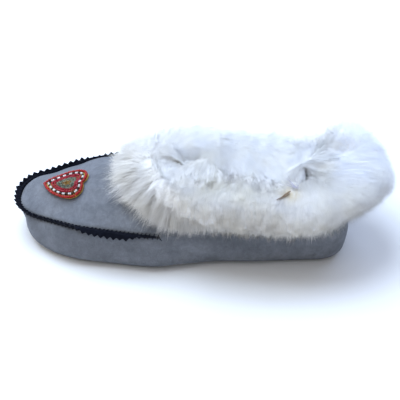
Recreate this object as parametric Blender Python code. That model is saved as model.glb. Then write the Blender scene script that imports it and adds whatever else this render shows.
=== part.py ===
"""Beaded suede moccasin, a left shoe, as separate closed solids: upper, outsole, insole, seam strip, fur and beads.

Run with: blender --background --python part.py
Blender's units are metres. The tables below are in millimetres, and add_solid scales them.
x is positive on the lateral (outer) side, y runs from the toe (negative) to the heel, and z is up.
The origin is on the floor, halfway along the foot, on the flat underside of the outsole.
In the code, s is the distance behind the toe tip.
"""

import math

import bmesh
import bpy
import numpy as np
from mathutils import Vector
from mathutils.bvhtree import BVHTree

MM = 0.001

# Driving dimensions, in millimetres.
LENGTH = 250.0  # toe tip to the back of the heel, without the fur
WALL = 2.2  # suede with its lining
GAP = 0.3  # between pieces that are sewn or glued together
SOLE_THICK = 2.0
INSOLE_THICK = 4.0
HEM_TURN = 9.0  # how far the upper's lower edge is turned in under the foot
TOE_SPRING = 4.4
SPRING_LENGTH = 62.0
TOE_LEAN = 5.0  # how far the seam at the toe tip stands in front of the wall below it
THROAT = 103.0  # front of the foot opening
COLLAR_BACK = 246.5
SEAM_END = 112.0  # where the toe seam's dart runs out on each side
TOE_END = (55.0, 2.3)  # length and power of the rounding in plan, 2 for an ellipse
HEEL_END = (28.0, 3.0)
THROAT_END = (45.0, 2.0)
COLLAR_HEEL_END = (32.0, 2.2)
AROUND = 76  # points in each loop round the shoe
TOE_BUNCHING = 0.4  # how much closer these points stand at the toe and heel
TOP_ROWS = 5  # rows of faces from the shoulder to the collar
DENSE = 720  # samples of an outline before it is spaced evenly

# The last, one row for each cross-section: half widths to the widest level of the side wall, the centre line's
# curve, how far the shoulder and the floor line lie in from the widest level, and the heights of those levels.
SECTIONS = {
    "s":           (0.0, 15.0, 32.0, 50.0, 75.0, 100.0, 112.0, 125.0, 150.0, 185.0, 220.0, 250.0),
    "lateral":     (43.2, 43.3, 43.4, 44.4, 47.0, 49.0, 48.8, 46.4, 42.6, 39.8, 36.0, 34.5),
    "medial":      (40.8, 41.2, 42.4, 44.2, 46.2, 46.0, 44.8, 42.4, 38.6, 36.4, 35.2, 34.5),
    "centre":      (-1.2, -0.8, -0.4, 0.0, 0.0, 0.0, 0.0, 0.0, 0.0, 0.0, 0.0, 0.0),
    "shoulder_in": (-8.0, 5.4, 8.6, 6.6, 4.4, 4.2, 4.2, 4.0, 3.8, 3.4, 2.4, 2.6),
    "floor_in":    (2.2, 2.4, 3.0, 3.6, 4.0, 4.0, 4.2, 4.6, 5.0, 4.4, 4.0, 4.4),
    "widest_z":    (14.0, 12.5, 12.0, 12.0, 12.0, 12.0, 12.0, 12.0, 13.0, 13.0, 13.0, 13.0),
    "shoulder_z":  (26.6, 27.4, 29.2, 31.4, 32.8, 32.4, 31.8, 31.2, 31.0, 33.0, 34.0, 35.0),
    "dome":        (1.7, 1.7, 1.8, 1.9, 2.0, 1.9, 1.7, 1.5, 1.3, 1.2, 1.2, 1.2),
}
# The edge of the foot opening.
COLLAR = {
    "s":       (103.0, 125.0, 150.0, 185.0, 220.0, 246.5),
    "lateral": (27.0, 31.0, 33.0, 33.0, 31.5, 30.5),
    "medial":  (27.0, 29.5, 30.5, 30.5, 30.5, 30.5),
    "z":       (50.5, 48.5, 46.0, 44.6, 47.6, 52.5),
}
# The points of a loop lie at these shares of the shoulder line and of the collar edge, from the toe to the heel.
POINTS = {
    "shoulder": (0.0, 0.25, 0.42, 0.58, 0.75, 0.87, 1.0),
    "collar":   (0.0, 0.04, 0.11, 0.33, 0.61, 0.79, 1.0),
}
# The fur's oval section round the collar edge: how far it reaches outward, down the upper, up and inward, and
# how steeply its outward reach rises. share runs along the edge, 0 at the throat and 1 at the back of the heel.
FUR = {
    "share": (0.0, 0.12, 0.25, 0.40, 0.55, 0.70, 0.85, 1.0),
    "out":   (15.0, 15.0, 17.0, 19.0, 20.0, 21.0, 25.0, 30.0),
    "down":  (32.0, 29.0, 21.0, 15.0, 14.0, 13.0, 13.0, 14.0),
    "up":    (8.0, 9.0, 11.0, 14.0, 13.0, 11.0, 13.0, 16.0),
    "inner": (8.0, 10.0, 15.0, 20.0, 21.0, 20.0, 17.0, 15.0),
    "rise":  (0.0, 0.0, 0.0, 0.0, 0.0, 0.0, 0.08, 0.16),
}
FUR_TUFT = (0.56, 0.03, 6.0)  # a taller tuft at the back of the heel: place round the ring, spread and height
FUR_SLOT = 5.0  # how far the inner flap covers the collar edge
FUR_GAP = 0.8
FUR_AROUND = 96
FUR_TURNS = 12  # rows of faces round the ring's section
LOCK_COLUMNS = 4  # columns of faces in a lock's width
LOCK_ROWS = 4  # rows of faces in a lock's length
LOCK_DEPTH = 0.17  # a lock's height as a share of the section's radius
# The pinked strip in the toe seam: lean of its free edge above the horizontal, and its height, at stations
# counted along the seam from the toe tip, positive on the lateral side.
STRIP = {
    "s": (
        -112.0, -98.0, -80.0, -66.0, -58.0, -50.0, -42.0, -12.0, 0.0,
        14.0, 34.0, 46.0, 52.0, 58.0, 66.0, 86.0, 93.0, 100.0, 112.0,
    ),
    "lean": (
        35.0, 55.0, 58.0, 60.0, 60.0, 60.0, 62.0, 58.0, 46.0,
        60.0, 62.0, 45.0, 8.0, -30.0, -48.0, -50.0, -40.0, -12.0, -5.0,
    ),
    "height": (
        1.0, 2.4, 2.7, 2.6, 1.5, 1.7, 3.0, 3.4, 3.3,
        2.4, 2.3, 2.6, 3.4, 4.6, 5.2, 5.2, 3.2, 1.5, 0.8,
    ),
}
STRIP_THICK = 1.3
STRIP_GAP = 0.45
STRIP_ROOT = 0.6  # thickness of the strip's saddle over the seam
TOOTH_PITCH = 4.6
TOOTH_DEPTH = 2.3
# The beaded heart: half widths at distances behind its tip, and where it lies on the toe.
HEART = {
    "along": (0.0, 3.8, 9.5, 17.0, 23.6, 29.0, 32.6, 33.6, 33.3, 32.0),
    "half":  (0.0, 4.3, 8.7, 12.4, 13.7, 13.0, 9.8, 6.4, 2.9, 0.0),
}
HEART_MIDDLE = (0.9, 37.6)  # x and s of the point half way down its axis
HEART_TURN = math.radians(12.0)  # the tip points a little to the medial side
HEART_ROWS = 7
BEAD_HEIGHT = 2.1
BACKING_THICK = 0.9
BACKING_EDGE = 0.9  # how far the backing shows round the beads


def smooth(at, knots, values):
    """Values at these places on a cubic curve through the knots."""
    knots, values = np.asarray(knots, float), np.asarray(values, float)
    steps = np.diff(knots)
    slopes = np.diff(values) / steps
    tangents = np.concatenate([slopes[:1], (slopes[1:] + slopes[:-1]) / 2, slopes[-1:]])
    tangents[1:-1][slopes[1:] * slopes[:-1] <= 0] = 0
    i = np.clip(np.searchsorted(knots, at, side="right") - 1, 0, len(steps) - 1)
    t = np.clip((at - knots[i]) / steps[i], 0, 1)
    start = (1 + 2 * t) * (1 - t) ** 2 * values[i] + t * (1 - t) ** 2 * steps[i] * tangents[i]
    end = t**2 * (3 - 2 * t) * values[i + 1] + t**2 * (t - 1) * steps[i] * tangents[i + 1]
    return start + end


def section(column, s):
    """A column of the table of cross-sections, at these distances behind the toe tip."""
    return smooth(s, SECTIONS["s"], SECTIONS[column])


def end_round(distance, length, power):
    """The share of the full width at a distance in from a rounded end."""
    inward = 1 - np.clip(distance / length, 0, 1)
    return np.clip(1 - inward**power, 0, 1) ** (1 / power)


def side_line(front, back, half_width, front_end, back_end):
    """One side of a plan outline, from its front tip to its back tip, as rows of distance out and s."""
    turn = np.linspace(0, math.pi, DENSE)
    s = (front + back) / 2 - (back - front) / 2 * np.cos(turn)
    width = half_width(s) * end_round(s - front, *front_end) * end_round(back - s, *back_end)
    return np.stack([width, s], axis=1)


def along(line, shares):
    """Points at these shares of a line's length."""
    lengths = np.concatenate([[0], np.cumsum(np.linalg.norm(np.diff(line, axis=0), axis=1))])
    at = np.asarray(shares) * lengths[-1]
    return np.stack([np.interp(at, lengths, column) for column in line.T], axis=1)


def closed_loop(lateral_line, medial_line, shares):
    """A loop from the front tip down the lateral side and back up the medial side, as rows of x and s."""
    lateral, medial = along(lateral_line, shares), along(medial_line, shares)
    medial = medial[-2:0:-1] * (-1, 1)
    return np.concatenate([lateral, medial])


def plan_normals(loop):
    """Outward unit normals of a closed loop that runs toe, lateral side, heel, medial side."""
    tangent = np.roll(loop, -1, axis=0) - np.roll(loop, 1, axis=0)
    normal = np.stack([tangent[:, 1], -tangent[:, 0]], axis=1)
    return normal / np.linalg.norm(normal, axis=1)[:, None]


def raised(plan, z):
    """Plan points with heights, as rows of x, y and z."""
    return np.column_stack([plan[:, 0], plan[:, 1] - LENGTH / 2, np.broadcast_to(z, len(plan))])


def unit(vectors):
    return vectors / np.linalg.norm(vectors, axis=-1, keepdims=True)


def spring(s):
    """How far the sole has risen from the floor towards the toe."""
    return TOE_SPRING * np.clip(1 - s / SPRING_LENGTH, 0, 1) ** 2


class Last:
    """The loops round the shoe that every piece is drawn from."""

    def __init__(self, around):
        self.shares = np.linspace(0, 1, around // 2 + 1)
        self.shares -= TOE_BUNCHING * np.sin(2 * math.pi * self.shares) / (2 * math.pi)
        sides = [
            side_line(TOE_LEAN, LENGTH, lambda s, side=side: section(side, s), TOE_END, HEEL_END)
            for side in ("lateral", "medial")
        ]
        self.widest = closed_loop(*sides, self.shares)
        self.s = self.widest[:, 1].copy()
        self.widest[:, 0] += section("centre", self.s)
        self.out = plan_normals(self.widest)
        self.shoulder = raised(self.inset(section("shoulder_in", self.s)), section("shoulder_z", self.s))
        self.collar = self.collar_loop()

    def inset(self, distance):
        """The widest loop moved inward in plan."""
        return self.widest - self.out * np.broadcast_to(distance, len(self.widest))[:, None]

    def collar_loop(self):
        """The edge of the foot opening."""
        shares = smooth(self.shares, POINTS["shoulder"], POINTS["collar"])
        sides = [
            side_line(
                THROAT,
                COLLAR_BACK,
                lambda s, side=side: smooth(s, COLLAR["s"], COLLAR[side]),
                THROAT_END,
                COLLAR_HEEL_END,
            )
            for side in ("lateral", "medial")
        ]
        plan = closed_loop(*sides, shares)
        return raised(plan, smooth(plan[:, 1], COLLAR["s"], COLLAR["z"]))

    def wall_loops(self):
        """The side wall's outer face, from the hem under the foot up to the shoulder."""
        hem_z = SOLE_THICK + GAP + spring(self.s)
        floor_in, widest_z = section("floor_in", self.s), section("widest_z", self.s)
        loops = [raised(self.inset(floor_in + HEM_TURN), hem_z)]
        for angle in np.radians((0, 45, 90)):
            inset = floor_in * (1 - math.sin(angle))
            loops.append(raised(self.inset(inset), hem_z + (widest_z - hem_z) * (1 - math.cos(angle))))
        for rise in (0.5, 1):
            inset = section("shoulder_in", self.s) * rise**2
            z = widest_z + (section("shoulder_z", self.s) - widest_z) * rise
            loops.append(raised(self.inset(inset), z))
        return loops

    def top_loop(self, share):
        """A loop on the vamp and quarters, at a share of the way from the shoulder to the collar edge."""
        share = np.broadcast_to(share, len(self.s))[:, None]
        loop = self.shoulder + (self.collar - self.shoulder) * share
        rise = 1 - (1 - share[:, 0]) ** section("dome", self.s)
        loop[:, 2] = self.shoulder[:, 2] + (self.collar[:, 2] - self.shoulder[:, 2]) * rise
        return loop


def face_normals(rows):
    """Outward unit normals of a grid of loops that starts at the hem and ends at the collar."""
    grid = np.array(rows)
    around = np.roll(grid, -1, axis=1) - np.roll(grid, 1, axis=1)
    up = np.gradient(grid, axis=0)
    return unit(np.cross(around, up))


def material(name, colour, roughness):
    made = bpy.data.materials.new(name)
    made.use_nodes = True
    shader = made.node_tree.nodes["Principled BSDF"]
    shader.inputs["Base Color"].default_value = (*colour, 1)
    shader.inputs["Roughness"].default_value = roughness
    shader.inputs["Metallic"].default_value = 0.0
    return made


def add_solid(name, points, faces, finish, sharp_degrees=40):
    """Makes the object from points in millimetres, with its faces turned outward."""
    mesh = bpy.data.meshes.new(name)
    mesh.from_pydata([tuple(p) for p in np.asarray(points) * MM], [], faces)
    work = bmesh.new()
    work.from_mesh(mesh)
    bmesh.ops.recalc_face_normals(work, faces=work.faces)
    work.to_mesh(mesh)
    work.free()
    mesh.shade_smooth()
    mesh.set_sharp_from_angle(angle=math.radians(sharp_degrees))
    mesh.materials.append(finish)
    made = bpy.data.objects.new(name, mesh)
    bpy.context.scene.collection.objects.link(made)
    return made


def grid_faces(rows, columns, wrap_rows):
    """Quads of a grid whose columns close on themselves, and whose rows do if asked."""
    faces = []
    for r in range(rows if wrap_rows else rows - 1):
        for c in range(columns):
            low, high, after = r * columns, (r + 1) % rows * columns, (c + 1) % columns
            faces.append((low + c, low + after, high + after, high + c))
    return faces


def ring_solid(name, loops, finish):
    """A solid ring: loops joined each to the next, and the last to the first."""
    loops = np.array(loops)
    return add_solid(name, loops.reshape(-1, 3), grid_faces(*loops.shape[:2], True), finish)


def plate_solid(name, loops, finish):
    """A solid plate: stacked loops, closed below the first and above the last by strips from side to side."""
    loops = np.array(loops)
    rows, columns = loops.shape[:2]
    faces = grid_faces(rows, columns, False)
    for start in (0, (rows - 1) * columns):
        for c in range(columns // 2):
            strip = (start + c, start + c + 1, start + columns - c - 1, start + (columns - c) % columns)
            faces.append(tuple(dict.fromkeys(strip)))
    return add_solid(name, loops.reshape(-1, 3), faces, finish)


def pulled_back(grid, kept):
    """The grid with the cut edges of the kept cells moved back, so that two pieces cut from it don't touch."""
    rows, columns = grid.shape[:2]
    moved = grid.copy()
    for r in range(rows):
        for c in range(columns):
            around = [(r - i, (c - j) % columns) for i in (0, 1) for j in (0, 1) if 0 <= r - i < rows - 1]
            own = [cell for cell in around if kept[cell]]
            if own and len(own) < len(around):
                inward = np.mean([cell_middle(grid, *cell) for cell in own], axis=0) - grid[r, c]
                cut = cut_direction(grid, kept, r, c)
                moved[r, c] += unit(inward - cut * np.dot(inward, cut)) * GAP * 0.6
    return moved


def cut_direction(grid, kept, r, c):
    """The direction of the cut line through a point of the grid."""
    rows, columns = grid.shape[:2]
    ends = []
    for dr, dc in ((0, 1), (0, -1), (1, 0), (-1, 0)):
        top, left = (r, c + min(dc, 0)) if dc else (r + min(dr, 0), c)
        beside = [(top - 1, left), (top, left)] if dc else [(top, left - 1), (top, left)]
        beside = [(i, j % columns) for i, j in beside if 0 <= i < rows - 1]
        if len(beside) == 2 and kept[beside[0]] != kept[beside[1]]:
            ends.append(grid[r + dr, (c + dc) % columns])
    return unit(ends[-1] - (ends[0] if len(ends) > 1 else grid[r, c]))


def cell_middle(grid, r, c):
    return (grid[r : r + 2, c] + grid[r : r + 2, (c + 1) % grid.shape[1]]).sum(axis=0) / 4


def shell_solid(name, grid, kept, finish):
    """A closed shell of the wall's thickness, from the kept cells of a grid of loops on its outer face."""
    rows, columns = grid.shape[:2]
    outer = pulled_back(grid, kept)
    inner = outer - WALL * face_normals(grid)
    faces = []
    for r, c in np.argwhere(kept):
        corners = [(r, c), (r, (c + 1) % columns), (r + 1, (c + 1) % columns), (r + 1, c)]
        sides = [(r - 1, c), (r, (c + 1) % columns), (r + 1, c), (r, (c - 1) % columns)]
        low = [i * columns + j for i, j in corners]
        high = [k + rows * columns for k in low]
        faces += [tuple(low), tuple(high[::-1])]
        for k, side in enumerate(sides):
            if not 0 <= side[0] < rows - 1 or not kept[side]:
                after = (k + 1) % 4
                faces.append((low[after], low[k], high[k], high[after]))
    used, faces = np.unique(faces, return_inverse=True)
    points = np.concatenate([outer.reshape(-1, 3), inner.reshape(-1, 3)])[used]
    return add_solid(name, points, faces.reshape(-1, 4).tolist(), finish)


def make_upper(last, finish):
    """The side wall with its quarters, and the vamp sewn into it, as two hollow shells from one grid."""
    wall = last.wall_loops()
    grid = np.array(wall + [last.top_loop(k / TOP_ROWS) for k in range(1, TOP_ROWS + 1)])
    middle = (last.s + np.roll(last.s, -1)) / 2
    on_vamp = np.zeros((len(grid) - 1, len(middle)), bool)
    on_vamp[len(wall) - 1 :] = middle < SEAM_END
    shell_solid("side_wall", grid, ~on_vamp, finish)
    return shell_solid("vamp", grid, on_vamp, finish)


def make_outsole(last, finish):
    floor = spring(last.s)
    edge = section("floor_in", last.s) + 0.6
    levels = ((0.7, 0.0), (0.0, 0.6), (0.0, SOLE_THICK - 0.4), (0.5, SOLE_THICK))
    loops = [raised(last.inset(edge + inset), floor + z) for inset, z in levels]
    return plate_solid("outsole", loops, finish)


def make_insole(last, finish):
    """It lies on the turned-in hem, and its thicker middle fills the gap that the hem leaves."""
    floor = spring(last.s)
    edge = section("floor_in", last.s) + 1.6
    step = HEM_TURN - 0.4
    low = SOLE_THICK + GAP
    lip = low + WALL + GAP
    top = lip + INSOLE_THICK
    levels = ((step, low), (step, lip), (0.0, lip), (0.0, top - 1.2), (1.2, top))
    loops = [raised(last.inset(edge + inset), floor + z) for inset, z in levels]
    return plate_solid("insole", loops, finish)


def lock_relief(row, column):
    """Height of the fur's locks, 0 to 1. A lock rises from its root to a narrow tip, and tiers are staggered."""
    tier, along_lock = np.divmod(row, LOCK_ROWS)
    along_lock = (along_lock + 1) / LOCK_ROWS
    middle = (column + tier * LOCK_COLUMNS / 2) / LOCK_COLUMNS
    across = 0.5 + 0.5 * np.cos(2 * math.pi * middle)
    return along_lock * (1 - along_lock * (1 - across))


def fur_lumps(around, turn):
    """Slow swellings of the fur along the collar and round its section."""
    lap = around * 2 * math.pi
    return 0.03 * np.sin(3 * lap + 2.6) + 0.04 * np.sin(7 * lap + 2 * turn) + 0.03 * np.sin(12 * lap - 3 * turn + 1.3)


def evenly(loops, guide, count):
    """The loops cut across at places that are evenly spaced along the guide loop."""
    guide = np.concatenate([guide, guide[:1]])
    lengths = np.concatenate([[0], np.cumsum(np.linalg.norm(np.diff(guide, axis=0), axis=1))])
    places = np.interp(np.arange(count) / count * lengths[-1], lengths, np.arange(len(guide)))
    low = places.astype(int)
    part = (places - low)[:, None]
    return [loop[low] + (loop[(low + 1) % len(loop)] - loop[low]) * part for loop in loops]


def make_fur(last, finish):
    """A thick ring saddled on the collar edge, with a slot for the suede and tapering locks all over it."""
    around = np.arange(FUR_AROUND) / FUR_AROUND
    share = 1 - np.abs(1 - 2 * around)
    size = {name: smooth(share, FUR["share"], values) for name, values in FUR.items()}
    place, spread, height = FUR_TUFT
    size["up"] += height * np.exp(-(((around - place) / spread) ** 2))
    span = np.linalg.norm(last.collar - last.shoulder, axis=1)
    column_share = smooth(np.interp(np.arange(len(span)), *collar_shares(last)), FUR["share"], FUR["down"])
    flap = np.clip(column_share * 0.82 / span, 0, 0.93)
    under = [last.top_loop(1 - flap * k) for k in (1, 0.66, 0.33, 0)]
    normals = face_normals(under)
    slot = last.top_loop(1 - FUR_SLOT / span)
    *under, slot = evenly(under + [slot], last.collar, FUR_AROUND)
    normals = [unit(n) for n in evenly(list(normals), last.collar, FUR_AROUND)]
    normal, collar = normals[-1], under[-1]
    edge = unit(np.cross(normal, np.roll(collar, -1, axis=0) - np.roll(collar, 1, axis=0)))
    loops = [loop + FUR_GAP * n for loop, n in zip(under, normals)]
    loops.append(collar + FUR_GAP * (edge + normal))
    loops.append(collar + FUR_GAP * edge - (WALL + FUR_GAP) * normal)
    loops.append(slot - (WALL + FUR_GAP) * normal)
    turns = np.radians(np.linspace(245, -78, FUR_TURNS + 1))
    for row, turn in enumerate(turns):
        from_ridge = abs(row - FUR_TURNS // 2)
        swell = 1 + fur_lumps(around, turn) + LOCK_DEPTH * lock_relief(from_ridge, np.arange(FUR_AROUND))
        low = size["down"] if math.cos(turn) > 0 else FUR_SLOT + 3
        high = size["up"] if math.sin(turn) > 0 else low
        wide = size["out"] if math.cos(turn) > 0 else size["inner"]
        level = unit(normal + size["rise"][:, None] * edge)
        outward = (wide * math.cos(turn) * swell)[:, None] * level
        loops.append(collar + outward + (high * math.sin(turn) * swell)[:, None] * edge)
    return ring_solid("fur_collar", loops, finish)


def collar_shares(last):
    """The points of the collar loop, and how far round from throat to heel each one lies."""
    closed = np.concatenate([last.collar, last.collar[:1]])
    lengths = np.concatenate([[0], np.cumsum(np.linalg.norm(np.diff(closed, axis=0), axis=1))])
    return np.arange(len(closed)), 1 - np.abs(1 - 2 * lengths / lengths[-1])


def seam_frames(last):
    """The seam, and the directions down the wall and in over the vamp from it, unrolled from heel to heel."""
    half = len(last.s) // 2
    order = np.concatenate([np.arange(half, len(last.s)), np.arange(half)])
    wall = last.wall_loops()
    down = unit(wall[-2] - last.shoulder)
    inward = unit(last.top_loop(1 / TOP_ROWS) - last.shoulder)
    signed_s = np.where(order >= half, -last.s[order], last.s[order])
    out = np.column_stack([last.out, np.zeros(len(last.out))])
    return signed_s, last.shoulder[order], down[order], inward[order], out[order]


def make_strip(last, finish):
    """The pinked strip caught in the toe seam, from the dart on one side round the toe to the other."""
    signed_s, line, *directions = seam_frames(last)
    length = np.concatenate([[0], np.cumsum(np.linalg.norm(np.diff(line, axis=0), axis=1))])
    ends = np.interp((-SEAM_END, SEAM_END), signed_s, length)
    count = int(round((ends[1] - ends[0]) / TOOTH_PITCH)) * 2 + 1
    sections = []
    for k, at in enumerate(np.linspace(*ends, count)):
        seam, down, inward, out = [
            np.array([np.interp(at, length, column) for column in rows.T]) for rows in (line, *directions)
        ]
        s = np.array([np.interp(at, length, signed_s)])
        lean = math.radians(smooth(s, STRIP["s"], STRIP["lean"])[0])
        height = smooth(s, STRIP["s"], STRIP["height"])[0]
        height = height if k % 2 else max(height - TOOTH_DEPTH, 0.4)
        grip = min(1.0, 0.3 + min(at - ends[0], ends[1] - at) / 30)
        sections.append(strip_section(seam, unit(down), unit(inward), unit(out), lean, height, grip))
    sections = np.array(sections)
    stations, corners = sections.shape[:2]
    faces = grid_faces(stations, corners, False)
    faces.append(tuple(range(corners)))
    faces.append(tuple(range((stations - 1) * corners, stations * corners)))
    return add_solid("seam_strip", sections.reshape(-1, 3), faces, finish, sharp_degrees=25)


def strip_section(seam, down, inward, out, lean, height, grip):
    """The strip's section: a low saddle over the seam, and a free edge that leans from it."""
    up = np.array([0.0, 0.0, 1.0])
    wall_out = unit(out - down * np.dot(out, down))
    vamp_out = unit(up - inward * np.dot(up, inward))
    ridge = unit(wall_out + vamp_out)
    free = math.cos(lean) * out + math.sin(lean) * up
    side = math.cos(lean) * up - math.sin(lean) * out
    half = STRIP_THICK / 2
    root = seam + (STRIP_GAP + STRIP_ROOT + half) * ridge
    return [
        seam + grip * 2.0 * down + STRIP_GAP * wall_out,
        seam + STRIP_GAP * 1.3 * ridge,
        seam + grip * 2.6 * inward + STRIP_GAP * vamp_out,
        root + half * side,
        root + half * side + height * free,
        root - half * side + height * free,
        root - half * side,
    ]


def heart_outline(grow=0.0, count=18):
    """The heart's outline on flat cloth, as rows of across and along from the middle of its axis."""
    half = np.stack([HEART["half"], HEART["along"]], axis=1)
    steps = np.concatenate([[0], np.cumsum(np.linalg.norm(np.diff(half, axis=0), axis=1))])
    at = np.linspace(0, steps[-1], count + 1)
    side = np.stack([smooth(at, steps, half[:, 0]), smooth(at, steps, half[:, 1])], axis=1)
    loop = np.concatenate([side, side[-2:0:-1] * (-1, 1)])
    loop[:, 1] -= max(HEART["along"]) / 2
    normal = plan_normals(loop)
    return loop + grow * normal


def on_vamp(surface, flat, lift):
    """Points of the heart's flat outline laid on the toe and lifted off it, in millimetres."""
    turned = np.stack(
        [
            flat[:, 0] * math.cos(HEART_TURN) + flat[:, 1] * math.sin(HEART_TURN),
            flat[:, 1] * math.cos(HEART_TURN) - flat[:, 0] * math.sin(HEART_TURN),
        ],
        axis=1,
    )
    placed = raised(turned + HEART_MIDDLE, 0.0)
    above = 100.0
    for point in placed:
        start = Vector((point[0], point[1], above)) * MM
        hit = surface.ray_cast(start, Vector((0, 0, -1)))[0]
        point[2] = hit.z / MM + lift
    return placed


def make_heart(vamp, backing_finish, bead_finish):
    """The beadwork pad with a ridge for each row of beads, and the thin backing it is sewn to."""
    mesh = vamp.data
    surface = BVHTree.FromPolygons([v.co for v in mesh.vertices], [p.vertices for p in mesh.polygons])
    backing_low, backing_top = GAP + 0.1, GAP + 0.1 + BACKING_THICK
    rim = heart_outline(BACKING_EDGE)
    shrink = (1.0, 0.66, 0.33)
    loops = [on_vamp(surface, rim * k, backing_low) for k in reversed(shrink)]
    loops += [on_vamp(surface, rim * k, backing_top) for k in shrink]
    backing = fan_solid("heart_backing", loops, surface, (backing_low, backing_top), backing_finish)
    bead_low = backing_top + GAP
    outline = heart_outline()
    loops = [on_vamp(surface, outline * k, bead_low) for k in reversed(shrink)]
    for row in range(HEART_ROWS):
        shares = [1 - (row + part) / HEART_ROWS for part in (0.0, 0.5)]
        heights = (0.55, 1.0)
        loops += [
            on_vamp(surface, outline * share, bead_low + BEAD_HEIGHT * high)
            for share, high in zip(shares, heights)
        ]
    beads = fan_solid("heart_beads", loops, surface, (bead_low, bead_low + 0.8 * BEAD_HEIGHT), bead_finish)
    return backing, beads


def fan_solid(name, loops, surface, lifts, finish):
    """A pad of nested loops, from the middle of its underside out to its rim and back to the middle of its top."""
    loops = np.array(loops)
    rows, columns = loops.shape[:2]
    centres = [on_vamp(surface, np.zeros((1, 2)), lift)[0] for lift in lifts]
    points = np.concatenate([loops.reshape(-1, 3), centres])
    faces = grid_faces(rows, columns, False)
    for centre, start in ((rows * columns, 0), (rows * columns + 1, (rows - 1) * columns)):
        faces += [(centre, start + c, start + (c + 1) % columns) for c in range(columns)]
    return add_solid(name, points, faces, finish)


def main():
    for old in list(bpy.data.objects):
        bpy.data.objects.remove(old)
    suede = material("grey_suede", (0.22, 0.25, 0.31), 0.95)
    sole_leather = material("charcoal_sole_leather", (0.05, 0.055, 0.06), 0.8)
    fleece = material("cream_fleece", (0.72, 0.69, 0.60), 1.0)
    fur = material("white_fur", (0.86, 0.86, 0.88), 1.0)
    felt = material("black_felt", (0.006, 0.007, 0.012), 0.9)
    yellow = material("yellow_leather", (0.55, 0.33, 0.08), 0.8)
    glass = material("red_glass_beads", (0.45, 0.02, 0.02), 0.3)
    last = Last(AROUND)
    vamp = make_upper(last, suede)
    make_outsole(last, sole_leather)
    make_insole(last, fleece)
    make_fur(last, fur)
    make_strip(last, felt)
    make_heart(vamp, yellow, glass)


main()
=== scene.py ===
"""The beaded moccasin as it is seen: soft suede with folds, a pinked felt seam, glass beads and fur.

Every piece is drawn from the same tables as the CAD, in millimetres, with x to the lateral side and s behind the
toe tip. new_piece scales them to metres and hangs them on the CAD's one body.
"""

import math

import bmesh
import bpy
import numpy as np
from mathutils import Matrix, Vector
from mathutils.bvhtree import BVHTree
from mathutils.kdtree import KDTree


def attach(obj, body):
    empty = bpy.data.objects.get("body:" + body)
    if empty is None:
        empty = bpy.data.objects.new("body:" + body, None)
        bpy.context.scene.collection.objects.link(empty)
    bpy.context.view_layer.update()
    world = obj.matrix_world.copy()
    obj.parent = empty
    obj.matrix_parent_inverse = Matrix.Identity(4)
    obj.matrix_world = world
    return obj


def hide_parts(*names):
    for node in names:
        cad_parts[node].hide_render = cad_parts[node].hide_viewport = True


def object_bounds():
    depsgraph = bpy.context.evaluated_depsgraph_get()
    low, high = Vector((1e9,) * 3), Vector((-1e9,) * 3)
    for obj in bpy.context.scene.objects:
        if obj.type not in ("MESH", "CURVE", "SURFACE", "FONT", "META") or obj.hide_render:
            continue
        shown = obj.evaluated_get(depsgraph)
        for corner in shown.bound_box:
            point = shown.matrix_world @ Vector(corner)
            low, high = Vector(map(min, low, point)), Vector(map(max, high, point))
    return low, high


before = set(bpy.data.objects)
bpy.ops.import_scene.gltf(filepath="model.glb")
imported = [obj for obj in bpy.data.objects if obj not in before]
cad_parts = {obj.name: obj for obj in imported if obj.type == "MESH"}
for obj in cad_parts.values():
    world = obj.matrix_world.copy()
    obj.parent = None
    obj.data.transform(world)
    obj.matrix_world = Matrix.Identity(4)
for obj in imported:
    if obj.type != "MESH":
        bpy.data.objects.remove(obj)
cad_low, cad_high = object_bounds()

MM = 0.001
UP = np.array([0.0, 0.0, 1.0])

# The shoe's own tables, as the CAD has them.
LENGTH = 250.0
WALL = 2.2
GAP = 0.3
SOLE_THICK = 2.0
INSOLE_THICK = 4.0
OUTSOLE_IN, INSOLE_IN, INSOLE_ROUND = 0.6, 1.6, 1.6
HEM_TURN = 9.0
TOE_SPRING = 4.4
SPRING_LENGTH = 62.0
TOE_LEAN = 5.0
THROAT = 103.0
COLLAR_BACK = 246.5
SEAM_END = 112.0
TOE_END = (55.0, 2.3)
HEEL_END = (28.0, 3.0)
THROAT_END = (45.0, 2.0)
COLLAR_HEEL_END = (32.0, 2.2)
TOE_BUNCHING = 0.4
DENSE = 1440
SECTIONS = {
    "s":           (0, 15, 32, 50, 75, 100, 112, 125, 150, 185, 220, 250),
    "lateral":     (43.2, 43.3, 43.4, 44.4, 47, 49, 48.8, 46.4, 42.6, 39.8, 36, 34.5),
    "medial":      (40.8, 41.2, 42.4, 44.2, 46.2, 46, 44.8, 42.4, 38.6, 36.4, 35.2, 34.5),
    "centre":      (-1.2, -0.8, -0.4, 0, 0, 0, 0, 0, 0, 0, 0, 0),
    "shoulder_in": (-8, 5.4, 8.6, 6.6, 4.4, 4.2, 4.2, 4, 3.8, 3.4, 2.4, 2.6),
    "floor_in":    (2.2, 2.4, 3, 3.6, 4, 4, 4.2, 4.6, 5, 4.4, 4, 4.4),
    "widest_z":    (14, 12.5, 12, 12, 12, 12, 12, 12, 13, 13, 13, 13),
    "shoulder_z":  (26.6, 27.4, 29.2, 31.4, 32.8, 32.4, 31.8, 31.2, 31, 33, 34, 35),
    "dome":        (1.7, 1.7, 1.8, 1.9, 2, 1.9, 1.7, 1.5, 1.3, 1.2, 1.2, 1.2),
}
COLLAR = {
    "s":       (103, 125, 150, 185, 220, 246.5),
    "lateral": (27, 31, 33, 33, 31.5, 30.5),
    "medial":  (27, 29.5, 30.5, 30.5, 30.5, 30.5),
    "z":       (50.5, 48.5, 46, 44.6, 47.6, 52.5),
}
POINTS = {
    "shoulder": (0, 0.25, 0.42, 0.58, 0.75, 0.87, 1),
    "collar":   (0, 0.04, 0.11, 0.33, 0.61, 0.79, 1),
}
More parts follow.
